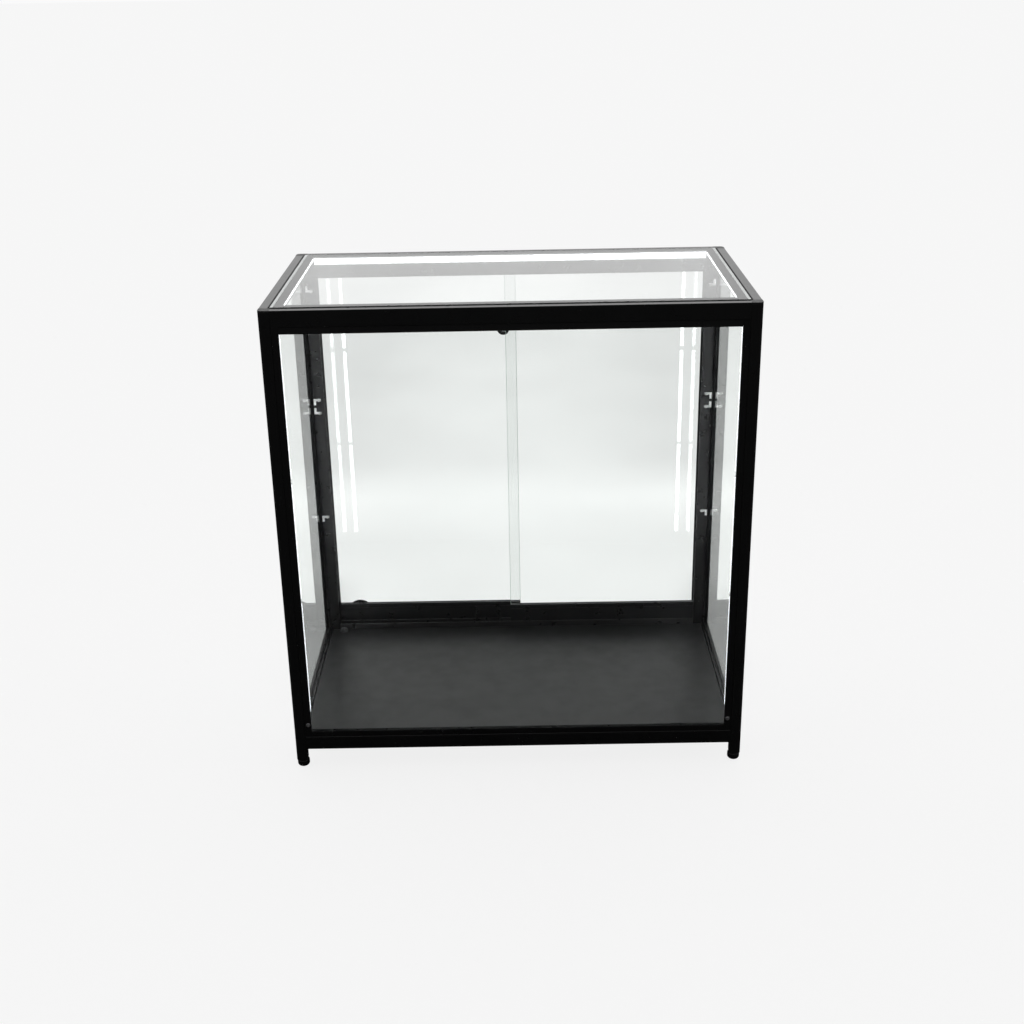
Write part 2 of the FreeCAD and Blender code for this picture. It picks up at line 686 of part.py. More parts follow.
# Glazing channels: U sections around the front and side panes
FRONT_CHANNEL = f"({FRONT_FACE} + channel_setback)"
SIDE_CHANNEL = f"({LEFT_FACE} + side_channel_setback)"
SLOT_FAR = "(channel_wall + glass_thickness + 2 * glass_play)"
CHANNEL_DEPTH = f"({SLOT_FAR} + channel_wall)"


def channel_section(root, way, outer):
    """Corners of a channel that stands on root, opens along way and lies behind outer."""
    floor = f"({root} {way} channel_floor)"
    mouth = f"({root} {way} channel_size)"
    slot_near = f"({outer} + channel_wall)"
    slot_far = f"({outer} + {SLOT_FAR})"
    inner = f"({outer} + {CHANNEL_DEPTH})"
    return [
        (root, outer), (mouth, outer), (mouth, slot_near), (floor, slot_near),
        (floor, slot_far), (mouth, slot_far), (mouth, inner), (root, inner),
    ]


def ledged_section(root, way, outer):
    """Corners of a channel with a low ledge on its inner side."""
    inner = f"({outer} + {CHANNEL_DEPTH})"
    lip = f"({inner} + side_ledge_width)"
    step = f"({root} {way} side_ledge_height)"
    return channel_section(root, way, outer)[:-1] + [(step, inner), (step, lip), (root, lip)]


def turned(section):
    return [(up, across) for across, up in section]


GLAZED_SPAN = (BOTTOM_RAIL_TOP, TOP_RAIL_BASE)
PANE_NEAR = "(channel_wall + glass_play)"
PANE_FAR = f"({PANE_NEAR} + glass_thickness)"
PANE_MARGIN = "(channel_floor + glass_edge_play)"
PANE_HEIGHT = within(GLAZED_SPAN, PANE_MARGIN)
BETWEEN_X = within(POST_SPAN_X, "channel_size")
BETWEEN_Y = within(POST_SPAN_Y, "channel_size")

front_upright = extruded(
    "front_glass_left_upright", "z", [channel_section(POST_LEFT, "+", FRONT_CHANNEL)], GLAZED_SPAN,
)
front_sill = extruded(
    "front_glass_sill", "x", [turned(channel_section(BOTTOM_RAIL_TOP, "+", FRONT_CHANNEL))], BETWEEN_X,
)
front_head = extruded(
    "front_glass_head", "x", [turned(channel_section(TOP_RAIL_BASE, "-", FRONT_CHANNEL))], BETWEEN_X,
)
front_channels = grouped("front_glass_channels", pair(front_upright) + [front_sill, front_head])

side_upright = extruded(
    "left_glass_front_upright", "z",
    [turned(ledged_section(POST_FRONT, "+", SIDE_CHANNEL))], GLAZED_SPAN,
)
side_sill = extruded(
    "left_glass_sill", "y", [turned(ledged_section(BOTTOM_RAIL_TOP, "+", SIDE_CHANNEL))], BETWEEN_Y,
)
side_head = extruded(
    "left_glass_head", "y", [turned(ledged_section(TOP_RAIL_BASE, "-", SIDE_CHANNEL))], BETWEEN_Y,
)
rear_upright = mirrored("left_glass_rear_upright", side_upright, "y")
left_channels = grouped("left_glass_channels", [side_upright, rear_upright, side_sill, side_head])
right_channels = mirrored("right_glass_channels", left_channels, "x")

# Panes, on rubber setting blocks in the sills
front_glass = block(
    "front_glass", within(POST_SPAN_X, PANE_MARGIN),
    run_from(FRONT_CHANNEL, "+", PANE_NEAR, PANE_FAR), PANE_HEIGHT,
)
left_glass = block(
    "left_glass", run_from(SIDE_CHANNEL, "+", PANE_NEAR, PANE_FAR),
    within(POST_SPAN_Y, PANE_MARGIN), PANE_HEIGHT,
)
right_glass = mirrored("right_glass", left_glass, "x")
top_glass = block(
    "top_glass", within((RAIL_LEFT, RAIL_RIGHT), "top_glass_gap"),
    within((RAIL_FRONT, RAIL_REAR), "top_glass_gap"), (TOP_LEDGE, TOP_GLASS_TOP),
)
BLOCK_HEIGHT = (f"({BOTTOM_RAIL_TOP} + channel_floor)", f"({BOTTOM_RAIL_TOP} + {PANE_MARGIN})")
front_block = block(
    "front_left_setting_block", run_from(POST_LEFT, "+", "setting_block_inset",
                                         "setting_block_inset + setting_block_length"),
    run_from(FRONT_CHANNEL, "+", PANE_NEAR, PANE_FAR), BLOCK_HEIGHT,
)
side_block = block(
    "left_front_setting_block", run_from(SIDE_CHANNEL, "+", PANE_NEAR, PANE_FAR),
    run_from(POST_FRONT, "+", "setting_block_inset", "setting_block_inset + setting_block_length"),
    BLOCK_HEIGHT,
)
far_side_block = mirrored("left_rear_setting_block", side_block, "y")
setting_blocks = grouped("glass_setting_blocks", pair(front_block) + pair(side_block) + pair(far_side_block))

# Rubber strips in the groove around the top pane
SEAL_HEIGHT = (TOP_LEDGE, f"({TOP_LEDGE} + seal_height)")
front_seal = block("front_seal", POST_SPAN_X, run_from(RAIL_FRONT, "+", "0", "top_glass_gap"), SEAL_HEIGHT)
left_seal = block("left_seal", run_from(RAIL_LEFT, "+", "0", "top_glass_gap"), POST_SPAN_Y, SEAL_HEIGHT)
top_seal = grouped(
    "top_glass_seal", [front_seal, mirrored("rear_seal", front_seal, "y")] + pair(left_seal),
)

# Rear door tracks and jambs: one E section, laid down, hung and stood up
TRACK_FRONT = f"({REAR_FACE} - track_setback - 2 * track_pitch - track_rib)"
JAMB_EDGE = f"({POST_LEFT} + jamb_depth)"
JAMB_EDGE_RIGHT = f"(-{JAMB_EDGE})"
RIB_COUNT = 3


def track_section(root, way, height):
    """Corners of the E section: a base on root and three ribs along way."""
    floor = f"({root} {way} track_base)"
    tip = f"({root} {way} {height})"
    corners = [(root, TRACK_FRONT)]
    for rib in range(RIB_COUNT):
        near = f"({TRACK_FRONT} + {rib} * track_pitch)"
        far = f"({near} + track_rib)"
        if rib > 0:
            corners.append((floor, near))
        corners += [(tip, near), (tip, far)]
        if rib < RIB_COUNT - 1:
            corners.append((floor, far))
    corners.append((root, far))
    return corners


bottom_track = extruded(
    "door_bottom_track", "x", [turned(track_section(DECK_TOP, "+", "bottom_track_height"))],
    (JAMB_EDGE, JAMB_EDGE_RIGHT),
)
top_track = extruded(
    "door_top_track", "x", [turned(track_section(REAR_RAIL_BASE, "-", "top_track_height"))],
    (JAMB_EDGE, JAMB_EDGE_RIGHT),
)
jamb_run = extruded(
    "left_jamb_run", "z", [track_section(POST_LEFT, "+", "jamb_depth")], (DECK_TOP, REAR_RAIL_BASE),
)

# Heights of the three light bars behind each front post
LOWER_LIGHT = (f"({DECK_TOP} + light_deck_gap)", f"({DECK_TOP} + light_deck_gap + lower_light_length)")
MIDDLE_LIGHT_BASE = f"({LOWER_LIGHT[1]} + lower_light_gap)"
MIDDLE_LIGHT = (MIDDLE_LIGHT_BASE, f"({MIDDLE_LIGHT_BASE} + middle_light_length)")
UPPER_LIGHT = (f"({MIDDLE_LIGHT[1]} + upper_light_gap)", f"({TOP_RAIL_BASE} - channel_size - light_top_gap)")

# Light clips on the jambs, each an L of sheet held by a small screw
CLIP_PLACES = [
    ("upper", f"({UPPER_LIGHT[1]} - top_clip_drop)", "+"),
    ("middle_high", f"({UPPER_LIGHT[0]} + clip_offset)", "-"),
    ("middle_low", f"({MIDDLE_LIGHT[1]} - low_clip_drop)", "+"),
    ("lower", LOWER_LIGHT[1], "-"),
]
CLIP_LEFT = f"({POST_LEFT} - clip_overhang)"
CLIP_FACE = (f"({TRACK_FRONT} - clip_thickness)", TRACK_FRONT)
CLIP_SCREW_X = f"({CLIP_LEFT} + clip_foot - clip_screw_inset)"
clips = []
clip_screws = []
clip_holes = []
for name, height, way in CLIP_PLACES:
    foot_span = (f"({height} - clip_width / 2)", f"({height} + clip_width / 2)")
    leg_span = run_from(height, way, "clip_width / 2", "clip_width / 2 + clip_leg")
    foot = block(f"{name}_clip_foot", (CLIP_LEFT, f"({CLIP_LEFT} + clip_foot)"), CLIP_FACE, foot_span)
    leg = block(f"{name}_clip_leg", (CLIP_LEFT, f"({CLIP_LEFT} + clip_width)"), CLIP_FACE, leg_span)
    bent = joined(f"{name}_clip_sheet", [foot, leg])
    middle = (CLIP_SCREW_X, height)
    hole_radius = "clip_screw_radius + screw_clearance"
    sheet_hole = rod(f"{name}_clip_hole", "y", middle, CLIP_FACE, hole_radius)
    clips += pair(carved(f"{name}_left_clip", bent, [sheet_hole]))
    rib_span = (TRACK_FRONT, f"({TRACK_FRONT} + track_rib)")
    clip_holes.append(rod(f"{name}_jamb_hole", "y", middle, rib_span, hole_radius))
    head_span = (f"({CLIP_FACE[0]} - clip_screw_head_height)", CLIP_FACE[0])
    head = rod(f"{name}_screw_head", "y", middle, head_span, "clip_screw_head_radius")
    shank = rod(f"{name}_screw_shank", "y", middle, (CLIP_FACE[0], rib_span[1]), "clip_screw_radius")
    clip_screws += pair(joined(f"{name}_left_clip_screw", [head, shank]))
light_clips = grouped("light_clips", clips)
light_clip_screws = grouped("light_clip_screws", clip_screws)
left_jamb = carved("left_door_jamb", jamb_run, clip_holes)
right_jamb = mirrored("right_door_jamb", left_jamb, "x")

# Deck between the posts, bored for the cable grommet
DECK_SPAN_X = within(POST_SPAN_X, "deck_play")
DECK_SPAN_Y = within((RAIL_FRONT, RAIL_REAR), "deck_play")
DECK_SPAN_Z = (DECK_BASE, DECK_TOP)
GROMMET_PLACE = (f"({JAMB_EDGE} + grommet_inset_width)", f"({TRACK_FRONT} - grommet_inset_depth)")
deck_sheet = block("deck_sheet", DECK_SPAN_X, DECK_SPAN_Y, DECK_SPAN_Z)
grommet_hole = rod("grommet_hole", "z", GROMMET_PLACE, DECK_SPAN_Z, "grommet_neck_radius + plug_clearance")
deck_panel = carved("deck_panel", deck_sheet, [grommet_hole])
GROMMET_TOP = f"({DECK_TOP} + grommet_rise)"
grommet_solid = doc.addObject("PartDesign::Body", "grommet_solid")
add_disc(grommet_solid, "grommet_neck", GROMMET_PLACE, DECK_SPAN_Z, "grommet_neck_radius")
add_disc(grommet_solid, "grommet_dome", GROMMET_PLACE, (DECK_TOP, GROMMET_TOP), "grommet_radius")
round_rim(grommet_solid, GROMMET_TOP, "grommet_radius", "grommet_rounding")
grommet_bore = rod(
    "grommet_bore", "z", GROMMET_PLACE, (DECK_BASE, DECK_TOP), "grommet_neck_radius - grommet_wall",
)
cable_grommet = carved("cable_grommet", grommet_solid, [grommet_bore])
DRIVER_REAR = f"({RAIL_REAR} - driver_offset)"
light_driver = block(
    "light_driver", ("-driver_length / 2", "driver_length / 2"),
    (f"({DRIVER_REAR} - driver_width)", DRIVER_REAR), (f"({DECK_BASE} - driver_height)", DECK_BASE),
)

# Sliding doors: a pane in a bottom shoe on two wheels
TRACK_FLOOR = f"({DECK_TOP} + track_base)"
SHOE_BASE = f"({TRACK_FLOOR} + shoe_ground)"
SHOE_TOP = f"({SHOE_BASE} + shoe_height)"
PANE_SEAT = f"({SHOE_TOP} - shoe_slot_depth)"
DOOR_TOP = f"({REAR_RAIL_BASE} - track_base - door_top_gap)"
AXLE_HEIGHT = f"({TRACK_FLOOR} + wheel_gap + wheel_radius)"
FRONT_GROOVE = f"({TRACK_FRONT} + (track_pitch + track_rib) / 2)"
REAR_GROOVE = f"({FRONT_GROOVE} + track_pitch)"
LEFT_DOOR_SPAN = (f"({JAMB_EDGE} - door_entry + door_shift)", "(door_overlap / 2 + door_shift)")
RIGHT_DOOR_SPAN = ("(-door_overlap / 2 + door_shift)", f"({JAMB_EDGE_RIGHT} + door_entry + door_shift)")


def about(middle, half):
    return (f"({middle} - {half})", f"({middle} + {half})")


def door_shoe(side, span, groove, axles):
    shell = block(f"{side}_shoe_bar", span, about(groove, "shoe_width / 2"), (SHOE_BASE, SHOE_TOP))
    slot_half = "(door_glass_thickness / 2 + glass_play)"
    tools = [block(f"{side}_shoe_slot", span, about(groove, slot_half), (PANE_SEAT, SHOE_TOP))]
    line_top = f"({SHOE_TOP} - shoe_line_drop)"
    face = f"({groove} - shoe_width / 2)"
    tools.append(block(
        f"{side}_shoe_line", span, (face, f"({face} + shoe_line_size)"),
        (f"({line_top} - shoe_line_size)", line_top),
    ))
    for end, axle in axles.items():
        pocket_half = "(wheel_radius + wheel_head_room)"
        tools.append(block(
            f"{side}_{end}_pocket", about(axle, pocket_half), about(groove, "(wheel_width / 2 + wheel_gap)"),
            (SHOE_BASE, f"({AXLE_HEIGHT} + wheel_radius + wheel_head_room)"),
        ))
        for wall, way in (("front", "-"), ("rear", "+")):
            bearing = run_from(groove, way, "wheel_width / 2 + wheel_gap", "shoe_width / 2")
            tools.append(rod(
                f"{side}_{end}_{wall}_bearing", "y", (axle, AXLE_HEIGHT), bearing,
                "wheel_axle_radius + axle_clearance",
            ))
    return carved(f"{side}_door_shoe", shell, tools)


def door_wheel(side, end, axle, groove):
    middle = (axle, AXLE_HEIGHT)
    name = f"{side}_door_{end}_wheel"
    tread = rod(f"{name}_tread", "y", middle, about(groove, "wheel_width / 2"), "wheel_radius")
    stub = rod(
        f"{name}_axle", "y", middle, about(groove, "(wheel_width / 2 + wheel_axle_reach)"),
        "wheel_axle_radius",
    )
    return joined(name, [tread, stub])


def door(side, span, groove):
    axles = {"left": f"({span[0]} + wheel_inset)", "right": f"({span[1]} - wheel_inset)"}
    pane = block(
        f"{side}_door_pane", span, about(groove, "door_glass_thickness / 2"), (PANE_SEAT, DOOR_TOP),
    )
    shoe = door_shoe(side, span, groove, axles)
    wheels = [door_wheel(side, end, axle, groove) for end, axle in axles.items()]
    return pane, shoe, wheels


left_pane, left_shoe, left_wheels = door("left", LEFT_DOOR_SPAN, REAR_GROOVE)
right_pane, right_shoe, right_wheels = door("right", RIGHT_DOOR_SPAN, FRONT_GROOVE)
right_pane.Label = "right_door_glass"

# Plunger lock through the outer pane, its bolt beside the inner door's edge
LOCK_X = f"({RIGHT_DOOR_SPAN[0]} - lock_bolt_play - lock_bolt_radius)"
LOCK_PLACE = (LOCK_X, "lock_height")
HOUSING_RADIUS = "(lock_bolt_radius + lock_bolt_clearance + lock_wall)"
PANE_FACE = f"({REAR_GROOVE} - door_glass_thickness / 2)"
PANE_BACK = f"({REAR_GROOVE} + door_glass_thickness / 2)"
LOCK_INSIDE = f"({PANE_FACE} - lock_nut_thickness)"
LOCK_OUTSIDE = f"({PANE_BACK} + lock_flange_thickness)"
BOLT_SPAN = (f"({PANE_FACE} - lock_bolt_tip)", f"({PANE_BACK} + lock_bolt_head)")
pane_hole = rod(
    "lock_pane_hole", "y", LOCK_PLACE, (PANE_FACE, PANE_BACK), f"{HOUSING_RADIUS} + lock_hole_clearance",
)
left_door_glass = carved("left_door_glass", left_pane, [pane_hole])
housing_barrel = rod("lock_barrel", "y", LOCK_PLACE, (LOCK_INSIDE, LOCK_OUTSIDE), HOUSING_RADIUS)
housing_flange = rod("lock_flange", "y", LOCK_PLACE, (PANE_BACK, LOCK_OUTSIDE), "lock_flange_radius")
housing_solid = joined("lock_housing_solid", [housing_barrel, housing_flange])
housing_bore = rod(
    "lock_housing_bore", "y", LOCK_PLACE, (LOCK_INSIDE, LOCK_OUTSIDE),
    "lock_bolt_radius + lock_bolt_clearance",
)
lock_housing = carved("lock_housing", housing_solid, [housing_bore])
nut_disc = rod("lock_nut_disc", "y", LOCK_PLACE, (LOCK_INSIDE, PANE_FACE), "lock_flange_radius")
nut_bore = rod(
    "lock_nut_bore", "y", LOCK_PLACE, (LOCK_INSIDE, PANE_FACE), f"{HOUSING_RADIUS} + screw_clearance",
)
lock_nut = carved("lock_nut", nut_disc, [nut_bore])
BARREL_SPAN = (f"({BOLT_SPAN[1]} - key_barrel_length)", BOLT_SPAN[1])
bolt_rod = rod("lock_bolt_rod", "y", LOCK_PLACE, BOLT_SPAN, "lock_bolt_radius")
bolt_bore = rod("lock_bolt_bore", "y", LOCK_PLACE, BARREL_SPAN, "key_barrel_radius + lock_bolt_clearance")
lock_bolt = carved("lock_bolt", bolt_rod, [bolt_bore])
barrel_rod = rod("key_barrel_rod", "y", LOCK_PLACE, BARREL_SPAN, "key_barrel_radius")
key_slot = block(
    "key_slot", about(LOCK_X, "key_slot_width / 2"),
    (f"({BARREL_SPAN[1]} - key_slot_depth)", BARREL_SPAN[1]), about("lock_height", "key_slot_length / 2"),
)
lock_key_barrel = carved("lock_key_barrel", barrel_rod, [key_slot])

# Half-round finger pull on the back of the outer door's shoe
PULL_X = f"({LEFT_DOOR_SPAN[0]} + pull_inset)"
PULL_BACK = f"({REAR_GROOVE} + shoe_width / 2)"
PULL_SPAN = (PULL_BACK, f"({PULL_BACK} + pull_thickness)")
PULL_HEIGHT = f"({SHOE_TOP} + pull_rise - pull_radius)"
pull_disc = rod("pull_disc", "y", (PULL_X, PULL_HEIGHT), PULL_SPAN, "pull_radius")
pull_waste = block(
    "pull_waste", about(PULL_X, "pull_radius"), PULL_SPAN, (f"({PULL_HEIGHT} - pull_radius)", PULL_HEIGHT),
)
finger_pull = carved("finger_pull", pull_disc, [pull_waste])

# Light bars: three behind each front post, one under each side ledge and the rear ledge of the top
FRONT_LIGHTS = [("lower", LOWER_LIGHT), ("middle", MIDDLE_LIGHT), ("upper", UPPER_LIGHT)]
LENS_X = run_from(POST_LEFT, "+", "front_light_inset", "front_light_inset + front_light_width")
light_bodies = []
light_lenses = []
for name, height in FRONT_LIGHTS:
    body_span_y = (f"({FRONT_CHANNEL} + {CHANNEL_DEPTH})", POST_FRONT)
    light_bodies += pair(block(
        f"{name}_left_light_body", run_from(POST_LEFT, "+", "0", "light_body_width"), body_span_y, height,
    ))
    lens_span_y = (POST_FRONT, f"({POST_FRONT} + front_light_lens)")
    light_lenses += pair(block(f"{name}_left_light_lens", LENS_X, lens_span_y, height))
front_light_bodies = grouped("front_light_bodies", light_bodies)
front_light_lenses = grouped("front_light_lenses", light_lenses)
REAR_LIGHT_X = within((JAMB_EDGE, JAMB_EDGE_RIGHT), "rear_light_end_gap")
REAR_LIGHT_Z = (REAR_RAIL_BASE, f"({TOP_LEDGE_BASE} - rear_light_gap)")
REAR_LIGHT_FACE = f"({TRACK_FRONT} + rear_light_lens)"
REAR_LIGHT_Y = (REAR_LIGHT_FACE, f"({REAR_LIGHT_FACE} + rear_light_depth)")
rear_light_body = block("rear_light_body", REAR_LIGHT_X, REAR_LIGHT_Y, REAR_LIGHT_Z)
rear_light_lens = block("rear_light_lens", REAR_LIGHT_X, (TRACK_FRONT, REAR_LIGHT_FACE), REAR_LIGHT_Z)

SIDE_LIGHT_EDGE = f"({RAIL_LEFT} + top_ledge_width)"
SIDE_LENS_BACK = f"({SIDE_LIGHT_EDGE} - side_light_lens)"
SIDE_LIGHT_Y = within((TOP_LEDGE_FRONT, TRACK_FRONT), "side_light_end_gap")
SIDE_LIGHT_Z = (f"({TOP_LEDGE_BASE} - side_light_height)", TOP_LEDGE_BASE)
left_side_body = block(
    "left_side_light_body", (f"({SIDE_LENS_BACK} - side_light_depth)", SIDE_LENS_BACK),
    SIDE_LIGHT_Y, SIDE_LIGHT_Z,
)
left_side_lens = block("left_side_light_lens", (SIDE_LENS_BACK, SIDE_LIGHT_EDGE), SIDE_LIGHT_Y, SIDE_LIGHT_Z)
side_light_bodies = grouped("side_light_bodies", pair(left_side_body))
side_light_lenses = grouped("side_light_lenses", pair(left_side_lens))

PIECES = (
    posts + rails + feet
    + [caps, corner_keys, corner_key_screws, leg_plugs]
    + [front_channels, left_channels, right_channels]
    + [front_glass, left_glass, right_glass, top_glass, setting_blocks, top_seal]
    + [deck_panel, cable_grommet, light_driver]
    + [bottom_track, top_track, left_jamb, right_jamb, light_clips, light_clip_screws]
    + [left_door_glass, left_shoe] + left_wheels
    + [right_pane, right_shoe] + right_wheels
    + [lock_housing, lock_nut, lock_bolt, lock_key_barrel, finger_pull]
    + [front_light_bodies, front_light_lenses, rear_light_body, rear_light_lens]
    + [side_light_bodies, side_light_lenses]
)

doc.recompute()
for item in doc.Objects:
    if "Invalid" in item.State or "Error" in item.State:
        raise RuntimeError(f"{item.Label} failed to build")
os.makedirs("parts", exist_ok=True)
for piece in PIECES:
    if piece.Shape.isNull() or not piece.Shape.isValid():
        raise RuntimeError(f"{piece.Label} has no sound shape")
for piece in PIECES:
    piece.Shape.exportStep(os.path.join("parts", f"{piece.Label}.step"))
print(len(PIECES), "pieces written")
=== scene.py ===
import json
import math

import bmesh
import bpy
from mathutils import Matrix, Vector


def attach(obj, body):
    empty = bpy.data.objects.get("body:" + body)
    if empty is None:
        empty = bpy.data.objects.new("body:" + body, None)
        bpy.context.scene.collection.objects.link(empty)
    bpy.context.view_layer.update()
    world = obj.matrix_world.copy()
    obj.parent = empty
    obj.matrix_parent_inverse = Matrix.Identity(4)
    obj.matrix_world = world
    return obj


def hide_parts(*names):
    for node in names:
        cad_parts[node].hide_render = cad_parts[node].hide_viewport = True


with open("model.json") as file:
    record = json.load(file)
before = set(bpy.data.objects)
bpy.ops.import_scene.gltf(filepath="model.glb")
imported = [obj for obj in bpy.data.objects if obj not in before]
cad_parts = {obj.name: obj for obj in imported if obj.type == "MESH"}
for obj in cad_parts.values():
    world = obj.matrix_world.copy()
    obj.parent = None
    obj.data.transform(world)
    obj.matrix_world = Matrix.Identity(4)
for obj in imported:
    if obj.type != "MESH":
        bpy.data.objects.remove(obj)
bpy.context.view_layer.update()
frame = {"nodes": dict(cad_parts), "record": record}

bl_info = {
    "name": "Glass Display Counter",
    "version": (1, 0, 0),
    "blender": (4, 5, 0),
    "location": "View3D > Sidebar > Counter",
    "description": "Dresses a free-standing glass display counter and sets up its studio",
    "category": "Object",
}

FRAME_BODY = "frame"
MERGE_DISTANCE = 1e-6
FLAT_ANGLE = math.radians(1.0)
SHARP_ANGLE = math.radians(35.0)
FULL_TURN = math.radians(360.0)
QUARTER_TURN = math.radians(90.0)
TURN_STEPS = 48
EVEN_PROFILE = 0.5
KEEP_MATERIAL = -1
AXES = range(3)
FIRST_VALUE = 0
SECOND_VALUE = 1
FIRST_SHADER = 1
SECOND_SHADER = 2
FIRST_COLOUR = 6
SECOND_COLOUR = 7
MIXED_COLOUR = 2
NOISE_SPAN = (0.3, 0.7)
WHOLE_SPAN = (0.0, 1.0)
FADING_SPAN = (1.0, 0.0)
WHITE = (1.0, 1.0, 1.0, 1.0)


class CounterFinishes(bpy.types.PropertyGroup):
    """Colours and lustre of the counter's materials."""

    frame_black: bpy.props.FloatVectorProperty(
        name="Frame Black", description="Coating of the posts, rails and tracks",
        subtype="COLOR", size=3, min=0.0, max=1.0, default=(0.0045, 0.0045, 0.0048),
    )
    frame_lustre: bpy.props.FloatProperty(
        name="Frame Lustre", description="How strongly the coating mirrors its surroundings",
        subtype="FACTOR", min=0.0, max=1.0, default=0.58,
    )
    jamb_lustre: bpy.props.FloatProperty(
        name="Jamb Lustre", description="The same for the jambs of the doors",
        subtype="FACTOR", min=0.0, max=1.0, default=0.34,
    )
    track_lustre: bpy.props.FloatProperty(
        name="Track Lustre", description="The same for the bottom track",
        subtype="FACTOR", min=0.0, max=1.0, default=1.0,
    )
    channel_lustre: bpy.props.FloatProperty(
        name="Channel Lustre", description="The same for the channels of the side panes",
        subtype="FACTOR", min=0.0, max=1.0, default=0.3,
    )
    deck_charcoal: bpy.props.FloatVectorProperty(
        name="Deck Charcoal", description="Laminate of the deck",
        subtype="COLOR", size=3, min=0.0, max=1.0, default=(0.008, 0.008, 0.0084),
    )
    dust_grey: bpy.props.FloatVectorProperty(
        name="Dust Grey", description="Specks of dust on the deck",
        subtype="COLOR", size=3, min=0.0, max=1.0, default=(0.12, 0.12, 0.117),
    )
    glass_tint: bpy.props.FloatVectorProperty(
        name="Glass Tint", description="Faint green of the float glass",
        subtype="COLOR", size=3, min=0.0, max=1.0, default=(0.976, 0.992, 0.983),
    )
    # Colour of the pale bands along the top pane's sides, which are a painted reflection of the pane's side
    # edges
    painted_reflection_band_white: bpy.props.FloatVectorProperty(
        name="Ground Glass", description="Frosted bands along the sides of the top pane",
        subtype="COLOR", size=3, min=0.0, max=1.0, default=(0.86, 0.89, 0.88),
    )
    edge_green: bpy.props.FloatVectorProperty(
        name="Edge Green", description="Ground edges of the door panes",
        subtype="COLOR", size=3, min=0.0, max=1.0, default=(0.42, 0.52, 0.47),
    )
    chrome: bpy.props.FloatVectorProperty(
        name="Chrome", description="Lock",
        subtype="COLOR", size=3, min=0.0, max=1.0, default=(0.78, 0.78, 0.79),
    )
    nickel: bpy.props.FloatVectorProperty(
        name="Nickel", description="Clips and their screws",
        subtype="COLOR", size=3, min=0.0, max=1.0, default=(0.94, 0.94, 0.93),
    )
    satin_metal: bpy.props.FloatVectorProperty(
        name="Satin Metal", description="Bodies and end caps of the light bars",
        subtype="COLOR", size=3, min=0.0, max=1.0, default=(0.55, 0.55, 0.56),
    )
    plain_steel: bpy.props.FloatVectorProperty(
        name="Plain Steel", description="Screws inside the frame and on the front channels",
        subtype="COLOR", size=3, min=0.0, max=1.0, default=(0.50, 0.50, 0.51),
    )
    moulded_black: bpy.props.FloatVectorProperty(
        name="Moulded Black", description="Plugs, corner keys and feet",
        subtype="COLOR", size=3, min=0.0, max=1.0, default=(0.008, 0.008, 0.0085),
    )
    rubber_black: bpy.props.FloatVectorProperty(
        name="Rubber Black", description="Strips and blocks that hold the panes",
        subtype="COLOR", size=3, min=0.0, max=1.0, default=(0.012, 0.012, 0.012),
    )
    nylon_white: bpy.props.FloatVectorProperty(
        name="Nylon White", description="Wheels of the doors",
        subtype="COLOR", size=3, min=0.0, max=1.0, default=(0.74, 0.73, 0.69),
    )
    case_white: bpy.props.FloatVectorProperty(
        name="Case White", description="Case of the lights' driver",
        subtype="COLOR", size=3, min=0.0, max=1.0, default=(0.74, 0.74, 0.73),
    )
    lens_white: bpy.props.FloatVectorProperty(
        name="Lens White", description="Frosted lenses of the light bars",
        subtype="COLOR", size=3, min=0.0, max=1.0, default=(0.95, 0.97, 1.0),
    )
    lens_glow: bpy.props.FloatProperty(
        name="Lens Glow", description="Strength of the light bars behind the front posts",
        min=0.0, soft_max=30.0, default=26.0,
    )
    top_lens_glow: bpy.props.FloatProperty(
        name="Top Lens Glow", description="Strength of the light bars under the top",
        min=0.0, soft_max=30.0, default=4.0,
    )
    smoky_grey: bpy.props.FloatVectorProperty(
        name="Smoky Grey", description="Grommet in the deck",
        subtype="COLOR", size=3, min=0.0, max=1.0, default=(0.05, 0.05, 0.052),
    )


